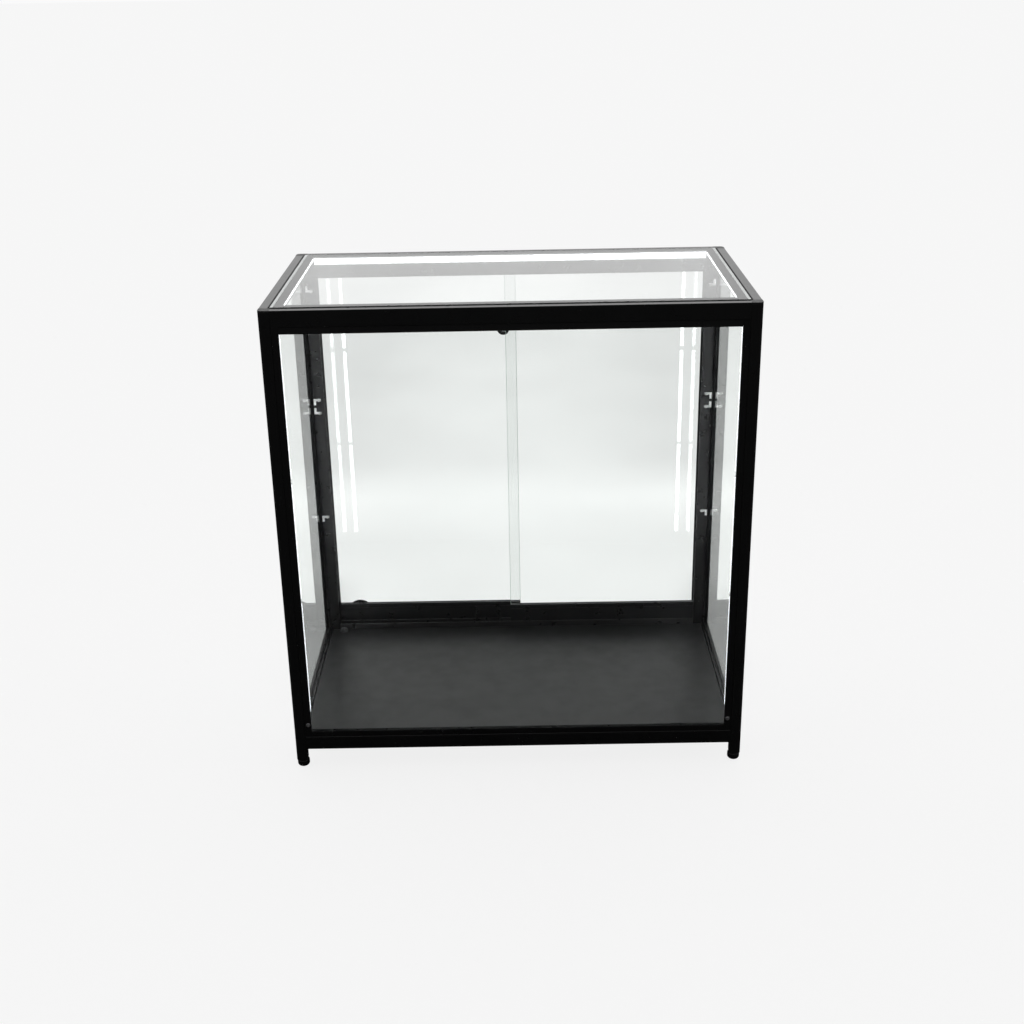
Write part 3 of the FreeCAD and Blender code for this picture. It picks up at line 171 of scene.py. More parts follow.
class CounterSizes(bpy.types.PropertyGroup):
    """Small forms that the drawn solids leave out."""

    ground_edge: bpy.props.FloatProperty(
        name="Ground Edge", description="Width of the ground edge of the top pane and the doors",
        unit="LENGTH", min=0.0, default=0.0008,
    )
    softened_edge: bpy.props.FloatProperty(
        name="Softened Edge", description="Rounding along the edges of channels, shoes and fittings",
        unit="LENGTH", min=0.0, default=0.0005,
    )
    rounded_rib: bpy.props.FloatProperty(
        name="Rounded Rib", description="Rounding of the bottom track's ribs",
        unit="LENGTH", min=0.0, default=0.0009,
    )
    edge_steps: bpy.props.IntProperty(
        name="Edge Steps", description="Faces across a rounded edge", min=1, max=8, default=3,
    )
    # The bands are a painted reflection of the top pane's side edges, laid as thin pale strips
    band_width: bpy.props.FloatProperty(
        name="Ground Band", description="Width of the frosted bands along the sides of the top pane",
        unit="LENGTH", min=0.0, default=0.0052,
    )
    band_thickness: bpy.props.FloatProperty(
        name="Band Thickness", description="Thickness of the frosted bands",
        unit="LENGTH", min=0.0, default=0.0003,
    )
    end_cap_length: bpy.props.FloatProperty(
        name="Light End Cap", description="Length of the cap on each end of a light bar",
        unit="LENGTH", min=0.0, default=0.0024,
    )
    end_cap_margin: bpy.props.FloatProperty(
        name="Cap Margin", description="How far an end cap stands around its light bar",
        unit="LENGTH", min=0.0, default=0.0003,
    )
    channel_screw_radius: bpy.props.FloatProperty(
        name="Channel Screw", description="Radius of the small screws on the front channels",
        unit="LENGTH", min=0.0, default=0.0044,
    )
    channel_screw_rise: bpy.props.FloatProperty(
        name="Channel Screw Rise", description="How far those screws stand off the channels",
        unit="LENGTH", min=0.0, default=0.001,
    )
    channel_screw_inset: bpy.props.FloatProperty(
        name="Channel Screw Inset", description="Post's edge to the axis of those screws",
        unit="LENGTH", min=0.0, default=0.0074,
    )
    channel_screw_height: bpy.props.FloatProperty(
        name="Channel Screw Height", description="Floor to the axis of those screws",
        unit="LENGTH", min=0.0, default=0.098,
    )
    clip_screw_head: bpy.props.FloatProperty(
        name="Clip Screw Head", description="Height of the heads of the clip screws",
        unit="LENGTH", min=0.0, default=0.0018,
    )
    clip_screw_shank: bpy.props.FloatProperty(
        name="Clip Screw Shank", description="Radius of the clip screws below the head",
        unit="LENGTH", min=0.0, default=0.0015,
    )
    lock_rim: bpy.props.FloatProperty(
        name="Lock Rim", description="Rounding of the lock nut's rim",
        unit="LENGTH", min=0.0, default=0.0012,
    )
    lock_bore: bpy.props.FloatProperty(
        name="Lock Bore", description="Radius of the lock nut's bore",
        unit="LENGTH", min=0.0, default=0.0073,
    )


class CounterStage(bpy.types.PropertyGroup):
    """Floor, surroundings and camera."""

    background: bpy.props.FloatProperty(
        name="Background", description="Brightness of the floor and backdrop as the camera sees them",
        subtype="FACTOR", min=0.0, max=1.0, default=0.957,
    )
    floor_reach: bpy.props.FloatProperty(
        name="Floor Reach", description="Half the side of the floor",
        unit="LENGTH", min=1.0, default=60.0,
    )
    floor_grey: bpy.props.FloatProperty(
        name="Floor Grey", description="Floor as it reflects light onto the counter",
        subtype="FACTOR", min=0.0, max=1.0, default=0.05,
    )
    shadow_share: bpy.props.FloatProperty(
        name="Shadow Share", description="Share of the floor's look that follows the light",
        subtype="FACTOR", min=0.0, max=1.0, default=0.12,
    )
    front_glow: bpy.props.FloatProperty(
        name="Front Glow", description="Brightness of the studio on the front side", min=0.0, default=0.22,
    )
    rear_glow: bpy.props.FloatProperty(
        name="Rear Glow", description="Brightness of the studio on the rear side", min=0.0, default=1.1,
    )
    lens_length: bpy.props.FloatProperty(
        name="Lens", description="Focal length of the camera in millimetres", min=1.0, default=47.82,
    )


def supply(tree, value, socket):
    """Give a socket the outcome of another one, or a plain value."""
    if isinstance(value, bpy.types.NodeSocket):
        tree.links.new(value, socket)
    else:
        socket.default_value = value


def joined_by(tree, operation, first, second):
    """The outcome of one sum on two values, each a number or a socket."""
    step = tree.nodes.new("ShaderNodeMath")
    step.operation = operation
    supply(tree, first, step.inputs[FIRST_VALUE])
    supply(tree, second, step.inputs[SECOND_VALUE])
    return step.outputs["Value"]


def laid_onto(tree, value, span, onto):
    """A value that runs over one span laid onto another."""
    ranged = tree.nodes.new("ShaderNodeMapRange")
    ranged.inputs["From Min"].default_value = span[0]
    ranged.inputs["From Max"].default_value = span[1]
    ranged.inputs["To Min"].default_value = onto[0]
    ranged.inputs["To Max"].default_value = onto[1]
    tree.links.new(value, ranged.inputs["Value"])
    return ranged.outputs["Result"]


def mixed(tree, factor, first, second):
    """A shader between two, by a factor that is a number or a socket."""
    mix = tree.nodes.new("ShaderNodeMixShader")
    supply(tree, factor, mix.inputs["Fac"])
    tree.links.new(first, mix.inputs[FIRST_SHADER])
    tree.links.new(second, mix.inputs[SECOND_SHADER])
    return mix.outputs["Shader"]


class ShaderBench:
    """Adds and wires the nodes of one procedural material."""

    def __init__(self, name):
        self.material = bpy.data.materials.new(name)
        self.material.use_nodes = True
        self.tree = self.material.node_tree
        self.tree.nodes.clear()
        self.output = self.add("ShaderNodeOutputMaterial")
        self.shader = self.add("ShaderNodeBsdfPrincipled")
        self.place = self.add("ShaderNodeTexCoord").outputs["Object"]
        self.join(self.shader.outputs["BSDF"], self.output.inputs["Surface"])

    def add(self, kind):
        return self.tree.nodes.new(kind)

    def join(self, source, target):
        self.tree.links.new(source, target)

    def set(self, name, value):
        self.shader.inputs[name].default_value = value

    def stretched(self, stretch):
        """The piece's own coordinates, packed tighter along some axes."""
        mapping = self.add("ShaderNodeMapping")
        mapping.inputs["Scale"].default_value = stretch
        self.join(self.place, mapping.inputs["Vector"])
        return mapping.outputs["Vector"]

    def noise(self, scale, detail, stretch=None):
        texture = self.add("ShaderNodeTexNoise")
        texture.inputs["Scale"].default_value = scale
        texture.inputs["Detail"].default_value = detail
        self.join(self.stretched(stretch) if stretch else self.place, texture.inputs["Vector"])
        return texture.outputs["Fac"]

    def cells(self, scale):
        texture = self.add("ShaderNodeTexVoronoi")
        texture.inputs["Scale"].default_value = scale
        self.join(self.place, texture.inputs["Vector"])
        return texture.outputs["Distance"]

    def spread(self, value, span, onto):
        return laid_onto(self.tree, value, span, onto)

    def times(self, first, second):
        return joined_by(self.tree, "MULTIPLY", first, second)

    def between(self, factor, first, second):
        """A colour between two, by a factor; either may be a colour or a socket."""
        mix = self.add("ShaderNodeMix")
        mix.data_type = "RGBA"
        self.join(factor, mix.inputs["Factor"])
        supply(self.tree, first, mix.inputs[FIRST_COLOUR])
        supply(self.tree, second, mix.inputs[SECOND_COLOUR])
        return mix.outputs[MIXED_COLOUR]

    def bump(self, height, strength, depth):
        node = self.add("ShaderNodeBump")
        node.inputs["Strength"].default_value = strength
        node.inputs["Distance"].default_value = depth
        self.join(height, node.inputs["Height"])
        self.join(node.outputs["Normal"], self.shader.inputs["Normal"])

    def feed(self, socket, name):
        self.join(socket, self.shader.inputs[name])

    def finish_with(self, shader):
        """Show another shader than the bench's own."""
        self.join(shader, self.output.inputs["Surface"])


def even_grey(level):
    return (level, level, level, 1.0)


def tone(colour, share):
    """A colour made lighter or darker, with its alpha."""
    return (*[min(1.0, part * share) for part in colour], 1.0)


def mottled(bench, colour, scale, detail, shares, stretch=None):
    """Feed the base colour with a soft variation of one colour."""
    patches = bench.spread(bench.noise(scale, detail, stretch), NOISE_SPAN, WHOLE_SPAN)
    shaded = bench.between(patches, tone(colour, shares[0]), tone(colour, shares[1]))
    bench.feed(shaded, "Base Color")


def uneven_roughness(bench, scale, detail, span, stretch=None):
    bench.feed(bench.spread(bench.noise(scale, detail, stretch), NOISE_SPAN, span), "Roughness")


def rough_casting(finishes):
    """Black coating over a pitted casting, duller than the drawn rails."""
    bench = ShaderBench("rough_casting")
    mottled(bench, finishes.frame_black, scale=90.0, detail=4.0, shares=(0.7, 1.8))
    uneven_roughness(bench, scale=160.0, detail=5.0, span=(0.36, 0.58))
    bench.set("Specular IOR Level", finishes.frame_lustre)
    bench.bump(bench.noise(scale=700.0, detail=4.0), strength=0.25, depth=0.0004)
    return bench.material


def frosting_and_painted_reflection(name, colour):
    """Rough pale glass, for the ground edges of the door panes and for the top pane's side bands, which are
    a painted reflection.
    """
    bench = ShaderBench(name)
    mottled(bench, colour, scale=120.0, detail=3.0, shares=(0.9, 1.05))
    uneven_roughness(bench, scale=300.0, detail=3.0, span=(0.45, 0.6))
    bench.bump(bench.noise(scale=2200.0, detail=2.0), strength=0.2, depth=0.0002)
    return bench.material


def coated_black(finishes, name, lustre):
    """Smooth black coating of the drawn rails, with a lustre of its own for each use."""
    bench = ShaderBench(name)
    mottled(bench, finishes.frame_black, scale=14.0, detail=3.0, shares=(0.8, 1.35))
    uneven_roughness(bench, scale=60.0, detail=4.0, span=(0.27, 0.3))
    bench.set("Specular IOR Level", lustre)
    bench.bump(bench.noise(scale=2400.0, detail=2.0), strength=0.02, depth=0.0002)
    return bench.material


LAMINATE_SHARES = (0.8, 1.25)
SPECK_SCALE = 190.0
SPECK_SPAN = (0.03, 0.11)
DRIFT_SPAN = (0.54, 0.72)


def charcoal_laminate(finishes):
    """Satin laminate with a fine leathery grain and a little dust."""
    bench = ShaderBench("charcoal_laminate")
    patches = bench.spread(bench.noise(scale=7.0, detail=4.0), NOISE_SPAN, WHOLE_SPAN)
    darker, lighter = [tone(finishes.deck_charcoal, share) for share in LAMINATE_SHARES]
    ground = bench.between(patches, darker, lighter)
    specks = bench.spread(bench.cells(SPECK_SCALE), SPECK_SPAN, FADING_SPAN)
    drifts = bench.spread(bench.noise(scale=11.0, detail=5.0), DRIFT_SPAN, WHOLE_SPAN)
    dusted = bench.between(bench.times(specks, drifts), ground, tone(finishes.dust_grey, 1.0))
    bench.feed(dusted, "Base Color")
    uneven_roughness(bench, scale=30.0, detail=5.0, span=(0.36, 0.46))
    bench.bump(bench.noise(scale=1100.0, detail=3.0), strength=0.25, depth=0.0002)
    return bench.material


GLASS_IOR = 1.5
PASSING_SHARE = 0.95


def clear_glass(finishes):
    """Float glass that lets the lamps' light through."""
    bench = ShaderBench("clear_glass")
    mottled(bench, finishes.glass_tint, scale=2.5, detail=2.0, shares=(0.994, 1.006))
    bench.set("Roughness", 0.0)
    bench.set("IOR", GLASS_IOR)
    bench.set("Transmission Weight", 1.0)
    passing = bench.add("ShaderNodeBsdfTransparent")
    passing.inputs["Color"].default_value = tone(finishes.glass_tint, PASSING_SHARE)
    shadow = bench.add("ShaderNodeLightPath").outputs["Is Shadow Ray"]
    bench.finish_with(mixed(bench.tree, shadow, bench.shader.outputs["BSDF"], passing.outputs["BSDF"]))
    return bench.material


PLASTIC_LUSTRE = 0.4
RUBBER_LUSTRE = 0.25


def moulded_plastic(name, colour):
    bench = ShaderBench(name)
    mottled(bench, colour, scale=40.0, detail=3.0, shares=(0.85, 1.2))
    uneven_roughness(bench, scale=90.0, detail=4.0, span=(0.24, 0.36))
    bench.set("Specular IOR Level", PLASTIC_LUSTRE)
    bench.bump(bench.noise(scale=1800.0, detail=2.0), strength=0.08, depth=0.0002)
    return bench.material


def matt_rubber(finishes):
    bench = ShaderBench("matt_rubber")
    mottled(bench, finishes.rubber_black, scale=60.0, detail=3.0, shares=(0.8, 1.4))
    uneven_roughness(bench, scale=120.0, detail=3.0, span=(0.68, 0.85))
    bench.set("Specular IOR Level", RUBBER_LUSTRE)
    bench.bump(bench.noise(scale=1500.0, detail=3.0), strength=0.15, depth=0.0003)
    return bench.material


def polished_chrome(finishes):
    bench = ShaderBench("polished_chrome")
    mottled(bench, finishes.chrome, scale=200.0, detail=3.0, shares=(0.92, 1.06))
    bench.set("Metallic", 1.0)
    uneven_roughness(bench, scale=500.0, detail=4.0, span=(0.06, 0.16))
    bench.bump(bench.noise(scale=900.0, detail=2.0), strength=0.03, depth=0.0002)
    return bench.material


PLATED_SHARE = 0.85


def satin_nickel(finishes):
    """Bright plated sheet with a soft sheen that spreads the glow of the light bars."""
    bench = ShaderBench("satin_nickel")
    mottled(bench, finishes.nickel, scale=300.0, detail=3.0, shares=(0.9, 1.06))
    bench.set("Metallic", PLATED_SHARE)
    uneven_roughness(bench, scale=500.0, detail=4.0, span=(0.26, 0.36))
    bench.bump(bench.noise(scale=900.0, detail=2.0), strength=0.05, depth=0.0002)
    return bench.material


SCREW_GRAIN = (1.0, 1.0, 0.1)
LIGHT_BAR_GRAIN = (1.0, 1.0, 0.05)


def brushed_metal(name, colour, grain):
    """Metal with fine lines drawn along one axis."""
    bench = ShaderBench(name)
    mottled(bench, colour, scale=30.0, detail=4.0, shares=(0.85, 1.1), stretch=grain)
    bench.set("Metallic", 1.0)
    uneven_roughness(bench, scale=60.0, detail=4.0, span=(0.28, 0.42), stretch=grain)
    bench.bump(bench.noise(scale=400.0, detail=2.0, stretch=grain), strength=0.08, depth=0.0002)
    return bench.material


DIODE_SCALE = 34.0
BETWEEN_DIODES = 0.9
OVER_DIODES = 1.0
LENS_SKIN = 0.0003
DIM_SHARE = 0.05


def lit_lens(finishes, name, strength, face=None):
    """Frosted lens, a little brighter over each diode; with a face given, the sides short of it are dim."""
    bench = ShaderBench(name)
    diodes = bench.add("ShaderNodeTexWave")
    diodes.wave_type = "BANDS"
    diodes.bands_direction = "DIAGONAL"
    diodes.inputs["Scale"].default_value = DIODE_SCALE
    bench.join(bench.place, diodes.inputs["Vector"])
    dimmer, brighter = [tone(finishes.lens_white, share) for share in (BETWEEN_DIODES, OVER_DIODES)]
    glow = bench.between(diodes.outputs["Fac"], dimmer, brighter)
    if face is not None:
        parts = bench.add("ShaderNodeSeparateXYZ")
        bench.join(bench.place, parts.inputs["Vector"])
        open_share = bench.spread(parts.outputs["Y"], (face - LENS_SKIN, face), WHOLE_SPAN)
        glow = bench.between(open_share, tone(finishes.lens_white, DIM_SHARE), glow)
    bench.feed(glow, "Emission Color")
    bench.set("Emission Strength", strength)
    mottled(bench, finishes.lens_white, scale=90.0, detail=2.0, shares=(0.88, 0.92))
    uneven_roughness(bench, scale=300.0, detail=2.0, span=(0.4, 0.55))
    return bench.material


FINISH_MAKERS = {
    "frame_black": lambda finishes: coated_black(finishes, "coated_black", finishes.frame_lustre),
    "jamb_black": lambda finishes: coated_black(finishes, "jamb_black", finishes.jamb_lustre),
    "track_black": lambda finishes: coated_black(finishes, "track_black", finishes.track_lustre),
    "channel_black": lambda finishes: coated_black(finishes, "channel_black", finishes.channel_lustre),
    "rough_casting": rough_casting,
    # The top pane's side bands: a pale colour painted where the pane's side edges show a reflection
    "frosting_and_painted_reflection": lambda finishes: frosting_and_painted_reflection("frosting_and_painted_reflection", finishes.painted_reflection_band_white),
    "green_edge": lambda finishes: frosting_and_painted_reflection("green_edge", finishes.edge_green),
    "glass_clear": clear_glass,
    "deck_board": charcoal_laminate,
    "rubber_black": matt_rubber,
    "plastic_black": lambda finishes: moulded_plastic("moulded_black", finishes.moulded_black),
    "wheel_nylon": lambda finishes: moulded_plastic("smooth_nylon", finishes.nylon_white),
    "screw_steel": lambda finishes: brushed_metal("plain_steel", finishes.plain_steel, SCREW_GRAIN),
    "bright_chrome": polished_chrome,
    "satin_nickel": satin_nickel,
    "light_metal": lambda finishes: brushed_metal("satin_metal", finishes.satin_metal, LIGHT_BAR_GRAIN),
    "light_lens": lambda finishes: lit_lens(
        finishes, "lit_lens", finishes.lens_glow, box_of("front_light_lenses")[1].y,
    ),
    "top_lens": lambda finishes: lit_lens(finishes, "top_lens", finishes.top_lens_glow),
    "smoky_plastic": lambda finishes: moulded_plastic("smoky_plastic", finishes.smoky_grey),
    "driver_case": lambda finishes: moulded_plastic("driver_case", finishes.case_white),
}
MADE_FINISHES = {}


def finish_of(slot):
    """The material of a slot or of a special finish, made once."""
    if slot not in MADE_FINISHES:
        MADE_FINISHES[slot] = FINISH_MAKERS[slot](bpy.context.scene.counter_finishes)
    return MADE_FINISHES[slot]


def body_of_node(node):
    for body, members in frame["record"]["behaviour"]["bodies"].items():
        if node in members:
            return body
    raise RuntimeError(f"no body holds {node}")


SLOT_OF_NODE = {part["node"]: part["material_slot"] for part in frame["record"]["subparts"]}
SPECIAL_FINISHES = {
    "top_corner_caps": "rough_casting",
    "left_door_jamb": "jamb_black",
    "right_door_jamb": "jamb_black",
    "door_bottom_track": "track_black",
    "left_glass_channels": "channel_black",
    "right_glass_channels": "channel_black",
    "light_clips": "satin_nickel",
    "light_clip_screws": "satin_nickel",
    "rear_light_lens": "top_lens",
    "side_light_lenses": "top_lens",
    "cable_grommet": "smoky_plastic",
}


def finish_of_node(node):
    return SPECIAL_FINISHES.get(node, SLOT_OF_NODE[node])


def placed(shape, name, slot, body, smooth=False, finish=None):
    """Make an object of a finished shape, dress it and set it on its body."""
    mesh = bpy.data.meshes.new(name)
    shape.to_mesh(mesh)
    shape.free()
    if smooth:
        for face in mesh.polygons:
            face.use_smooth = True
        mesh.set_sharp_from_angle(angle=SHARP_ANGLE)
    mesh.materials.append(finish_of(finish or slot))
    piece = bpy.data.objects.new(name, mesh)
    bpy.context.scene.collection.objects.link(piece)
    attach(piece, body)
    return piece


def round_edges(shape, width, steps):
    """Round the sharp edges of a shape."""
    sharp = [
        edge for edge in shape.edges
        if len(edge.link_faces) == 2 and edge.calc_face_angle() > SHARP_ANGLE
    ]
    bmesh.ops.bevel(
        shape, geom=sharp, offset=width, offset_type="OFFSET", segments=steps, profile=EVEN_PROFILE,
        affect="EDGES", clamp_overlap=True, material=KEEP_MATERIAL,
    )


def merged_copy(node):
    """The mesh of a drawn piece with its corners joined."""
    shape = bmesh.new()
    shape.from_mesh(frame["nodes"][node].data)
    bmesh.ops.remove_doubles(shape, verts=shape.verts, dist=MERGE_DISTANCE)
    return shape


def box_around(places):
    """Low and high corners around some places."""
    low = Vector([min(place[axis] for place in places) for axis in AXES])
    high = Vector([max(place[axis] for place in places) for axis in AXES])
    return low, high


def box_of(node):
    return box_around([dot.co for dot in frame["nodes"][node].data.vertices])


def boxes_of_solids(node):
    """A box around each separate solid of a drawn piece."""
    shape = merged_copy(node)
    waiting = set(shape.verts)
    boxes = []
    while waiting:
        found = [waiting.pop()]
        for dot in found:
            near = {edge.other_vert(dot) for edge in dot.link_edges} & waiting
            waiting -= near
            found.extend(near)
        boxes.append(box_around([dot.co for dot in found]))
    shape.free()
    return boxes


def softened_copy(node, name, width, steps):
    """Stand a copy of a drawn piece, with rounded edges, in its place."""
    shape = merged_copy(node)
    bmesh.ops.dissolve_limit(shape, angle_limit=FLAT_ANGLE, verts=shape.verts, edges=shape.edges)
    round_edges(shape, width, steps)
    shape.normal_update()
    piece = placed(shape, name, SLOT_OF_NODE[node], body_of_node(node), finish=finish_of_node(node))
    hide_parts(node)
    return piece


FACING_SHARE = 0.99


def grind_edges(pane, finish):
    """Give the faces of an upright pane that don't face forward or back a finish of their own."""
    pane.data.materials.append(finish_of(finish))
    edge_index = len(pane.data.materials) - 1
    for face in pane.data.polygons:
        if abs(face.normal.y) < FACING_SHARE:
            face.material_index = edge_index


FORWARD = Vector((0.0, -1.0, 0.0))
UPWARD = Vector((0.0, 0.0, 1.0))


def add_turned(shape, outline, middle, closed=False):
    """Turn an outline of (radius, reach) about a forward axis through a point."""
    dots = [shape.verts.new(middle + FORWARD * reach + UPWARD * radius) for radius, reach in outline]
    following = dots[1:] + dots[:1] if closed else dots[1:]
    lines = [shape.edges.new(ends) for ends in zip(dots, following)]
    bmesh.ops.spin(
        shape, geom=dots + lines, cent=middle, axis=FORWARD, angle=FULL_TURN, steps=TURN_STEPS,
        use_merge=True,
    )
    bmesh.ops.remove_doubles(shape, verts=shape.verts, dist=MERGE_DISTANCE)
    bmesh.ops.recalc_face_normals(shape, faces=shape.faces)


# Shares of a screw head's radius and rise, from its seat over the dome to the floor of its socket
HEAD_PROFILE = (
    (1.0, 0.0), (1.0, 0.3), (0.94, 0.55), (0.78, 0.82), (0.52, 1.0), (0.44, 1.0), (0.36, 0.45), (0.0, 0.45),
)


def socket_head(radius, rise):
    """Outline of a domed screw head with a round socket, from its seat outward."""
    return [(across * radius, along * rise) for across, along in HEAD_PROFILE]


def add_block(shape, low, high):
    """Add a box between two corners to a shape and give its corners."""
    middle = (Vector(low) + Vector(high)) / 2
    size = Vector(high) - Vector(low)
    place = Matrix.Translation(middle) @ Matrix.Diagonal((*size, 1.0))
    return bmesh.ops.create_cube(shape, size=1.0, matrix=place)["verts"]


class COUNTER_OT_dress_solids(bpy.types.Operator):
    """Give every drawn solid its procedural material"""

    bl_idname = "counter.dress_solids"
    bl_label = "Dress Solids"

    def execute(self, context):
        for node, piece in frame["nodes"].items():
            piece.data.materials.clear()
            piece.data.materials.append(finish_of(finish_of_node(node)))
        return {"FINISHED"}


DOOR_PANES = ("left_door_glass", "right_door_glass")


class COUNTER_OT_ground_panes(bpy.types.Operator):
    """Grind the open edges of the top pane and the door panes"""

    bl_idname = "counter.ground_panes"
    bl_label = "Ground Panes"

    def execute(self, context):
        sizes = context.scene.counter_sizes
        softened_copy("top_glass", "top_glass_ground", sizes.ground_edge, sizes.edge_steps)
        for node in DOOR_PANES:
            pane = softened_copy(node, f"{node}_ground", sizes.ground_edge, sizes.edge_steps)
            grind_edges(pane, "green_edge")
        return {"FINISHED"}


SOFT_EDGED = (
    "front_glass_channels", "left_glass_channels", "right_glass_channels",
    "left_door_shoe", "right_door_shoe", "finger_pull", "light_clips", "deck_panel", "light_driver",
)


class COUNTER_OT_soften_edges(bpy.types.Operator):
    """Round the edges of channels, bottom track, shoes, clips, pull, deck and driver"""

    bl_idname = "counter.soften_edges"
    bl_label = "Soften Edges"

    def execute(self, context):
        sizes = context.scene.counter_sizes
        for node in SOFT_EDGED:
            softened_copy(node, f"{node}_softened", sizes.softened_edge, sizes.edge_steps)
        softened_copy("door_bottom_track", "door_bottom_track_softened", sizes.rounded_rib, sizes.edge_steps)
        return {"FINISHED"}


class COUNTER_OT_seat_screws(bpy.types.Operator):
    """Turn the screws of the light clips and of the front channels"""

    bl_idname = "counter.seat_screws"
    bl_label = "Seat Screws"

    def execute(self, context):
        self.turn_clip_screws(context.scene.counter_sizes)
        self.turn_channel_screws(context.scene.counter_sizes)
        return {"FINISHED"}

    def turn_clip_screws(self, sizes):
        node = "light_clip_screws"
        shape = bmesh.new()
        for low, high in boxes_of_solids(node):
            seat = Vector(((low.x + high.x) / 2, low.y + sizes.clip_screw_head, (low.z + high.z) / 2))
            depth = high.y - seat.y
            shank = [(0.0, -depth), (sizes.clip_screw_shank, -depth), (sizes.clip_screw_shank, 0.0)]
            add_turned(shape, shank + socket_head((high.x - low.x) / 2, sizes.clip_screw_head), seat)
        screws = placed(
            shape, "clip_screws_turned", SLOT_OF_NODE[node], FRAME_BODY,
            smooth=True, finish=finish_of_node(node),
        )
        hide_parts(node)

    def turn_channel_screws(self, sizes):
        low, high = box_of("front_glass_channels")
        shape = bmesh.new()
        for place in (low.x + sizes.channel_screw_inset, high.x - sizes.channel_screw_inset):
            seat = Vector((place, low.y, sizes.channel_screw_height))
            outline = [(0.0, 0.0)] + socket_head(sizes.channel_screw_radius, sizes.channel_screw_rise)
            add_turned(shape, outline, seat)
        placed(shape, "channel_screws", "screw_steel", FRAME_BODY, smooth=True)


class COUNTER_OT_turn_lock_nut(bpy.types.Operator):
    """Turn the lock's nut with a rounded rim and a shallow ring on its face"""

    bl_idname = "counter.turn_lock_nut"
    bl_label = "Turn Lock Nut"

    def execute(self, context):
        sizes = context.scene.counter_sizes
        node = "lock_nut"
        low, high = box_of(node)
        seat = Vector(((low.x + high.x) / 2, high.y, (low.z + high.z) / 2))
        radius = (high.x - low.x) / 2
        face = high.y - low.y
        rim = sizes.lock_rim
        ring = (sizes.lock_bore + radius) / 2
        outline = [(sizes.lock_bore, 0.0), (radius, 0.0)]
        for step in range(sizes.edge_steps + 1):
            angle = QUARTER_TURN * step / sizes.edge_steps
            outline.append((radius - rim + rim * math.cos(angle), face - rim + rim * math.sin(angle)))
        outline += [(ring + rim, face), (ring, face - rim / 2), (ring - rim, face), (sizes.lock_bore, face)]
        shape = bmesh.new()
        add_turned(shape, outline, seat, closed=True)
        nut = placed(shape, "lock_nut_turned", SLOT_OF_NODE[node], body_of_node(node), smooth=True)
        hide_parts(node)
        return {"FINISHED"}


class COUNTER_OT_cap_lights(bpy.types.Operator):
    """Close the ends of the front light bars with caps"""

    bl_idname = "counter.cap_lights"
    bl_label = "Cap Lights"

    def execute(self, context):
        sizes = context.scene.counter_sizes
        margin = Vector((sizes.end_cap_margin, 0.0, sizes.end_cap_margin))
        outward = Vector((0.0, sizes.end_cap_margin, 0.0))
        length = Vector((0.0, 0.0, sizes.end_cap_length))
        shape = bmesh.new()
        for low, high in boxes_of_solids("front_light_lenses"):
            foot = Vector((high.x, high.y, low.z))
            head = Vector((low.x, low.y, high.z))
            add_block(shape, low - margin, foot + margin + outward + length)
            add_block(shape, head - margin - length, high + margin + outward)
        round_edges(shape, sizes.end_cap_margin, sizes.edge_steps)
        placed(shape, "light_end_caps", "light_metal", FRAME_BODY)
        return {"FINISHED"}


BAND_STEPS = 1


class COUNTER_OT_lay_bands(bpy.types.Operator):
    """Lay pale bands along the sides of the top pane, a painted reflection of its side edges"""

    bl_idname = "counter.lay_bands"
    bl_label = "Lay Bands"

    def execute(self, context):
        sizes = context.scene.counter_sizes
        low, high = box_of("top_glass")
        edge = sizes.ground_edge
        half = sizes.band_thickness / 2
        for side, near in (("left", low.x + edge), ("right", high.x - edge - sizes.band_width)):
            shape = bmesh.new()
            add_block(
                shape, (near, low.y + edge, high.z - half),
                (near + sizes.band_width, high.y - edge, high.z + half),
            )
            round_edges(shape, half / 2, BAND_STEPS)
            name = f"top_glass_{side}_band"
            placed(shape, name, SLOT_OF_NODE["top_glass"], FRAME_BODY, finish="frosting_and_painted_reflection")
        return {"FINISHED"}


class COUNTER_OT_set_stage(bpy.types.Operator):
    """Set up the floor, the studio's light and the camera"""

    bl_idname = "counter.set_stage"
    bl_label = "Set Stage"

    def execute(self, context):
        stage = context.scene.counter_stage
        lay_floor(stage)
        light_studio(stage)
        aim_camera(stage)
        context.scene.view_settings.view_transform = "Standard"
        return {"FINISHED"}


def forward_share(tree, vector, span):
    """None on the near side of a span along Y, all on its far side."""
    parts = tree.nodes.new("ShaderNodeSeparateXYZ")
    tree.links.new(vector, parts.inputs["Vector"])
    return laid_onto(tree, parts.outputs["Y"], span, WHOLE_SPAN)


HALF_BOUNCE = 0.5


def seen_directly(tree, path, behind):
    """One for the rays that show the background: the camera's own, those that go straight through
    glass, and those that a pane turned toward what is behind."""
    straight = joined_by(tree, "LESS_THAN", path.outputs["Glossy Depth"], HALF_BOUNCE)
    shown = joined_by(tree, "MAXIMUM", straight, behind)
    through = joined_by(tree, "MULTIPLY", path.outputs["Is Transmission Ray"], shown)
    return joined_by(tree, "MAXIMUM", path.outputs["Is Camera Ray"], through)


BEHIND_FRONT = (-0.35, -0.25)
NEAR_FLOOR = (0.9, 1.2)
NEAR_GLOW = (1.08, 1.19)
MIDDLE_FLOOR = (1.25, 1.55)
MIDDLE_GLOW = (1.0, 0.866)
FAR_FLOOR = (1.8, 4.0)
FAR_GLOW = (1.0, 0.92)
CLOUD_GLOW = (0.96, 1.04)
SIDE_SPAN = (0.01, 0.3)
SIDE_GLOW = (1.02, 0.91)
SHADE_START = (-0.4, -0.15)
SHADE_END = (0.7, 0.45)
SHADE_RISE = (0.15, 0.22)
SHADE_FADE = (0.7, 0.4)
SHADE_GLOW = (1.0, 0.72)
PATTERN_FADE = (1.4, 3.0)


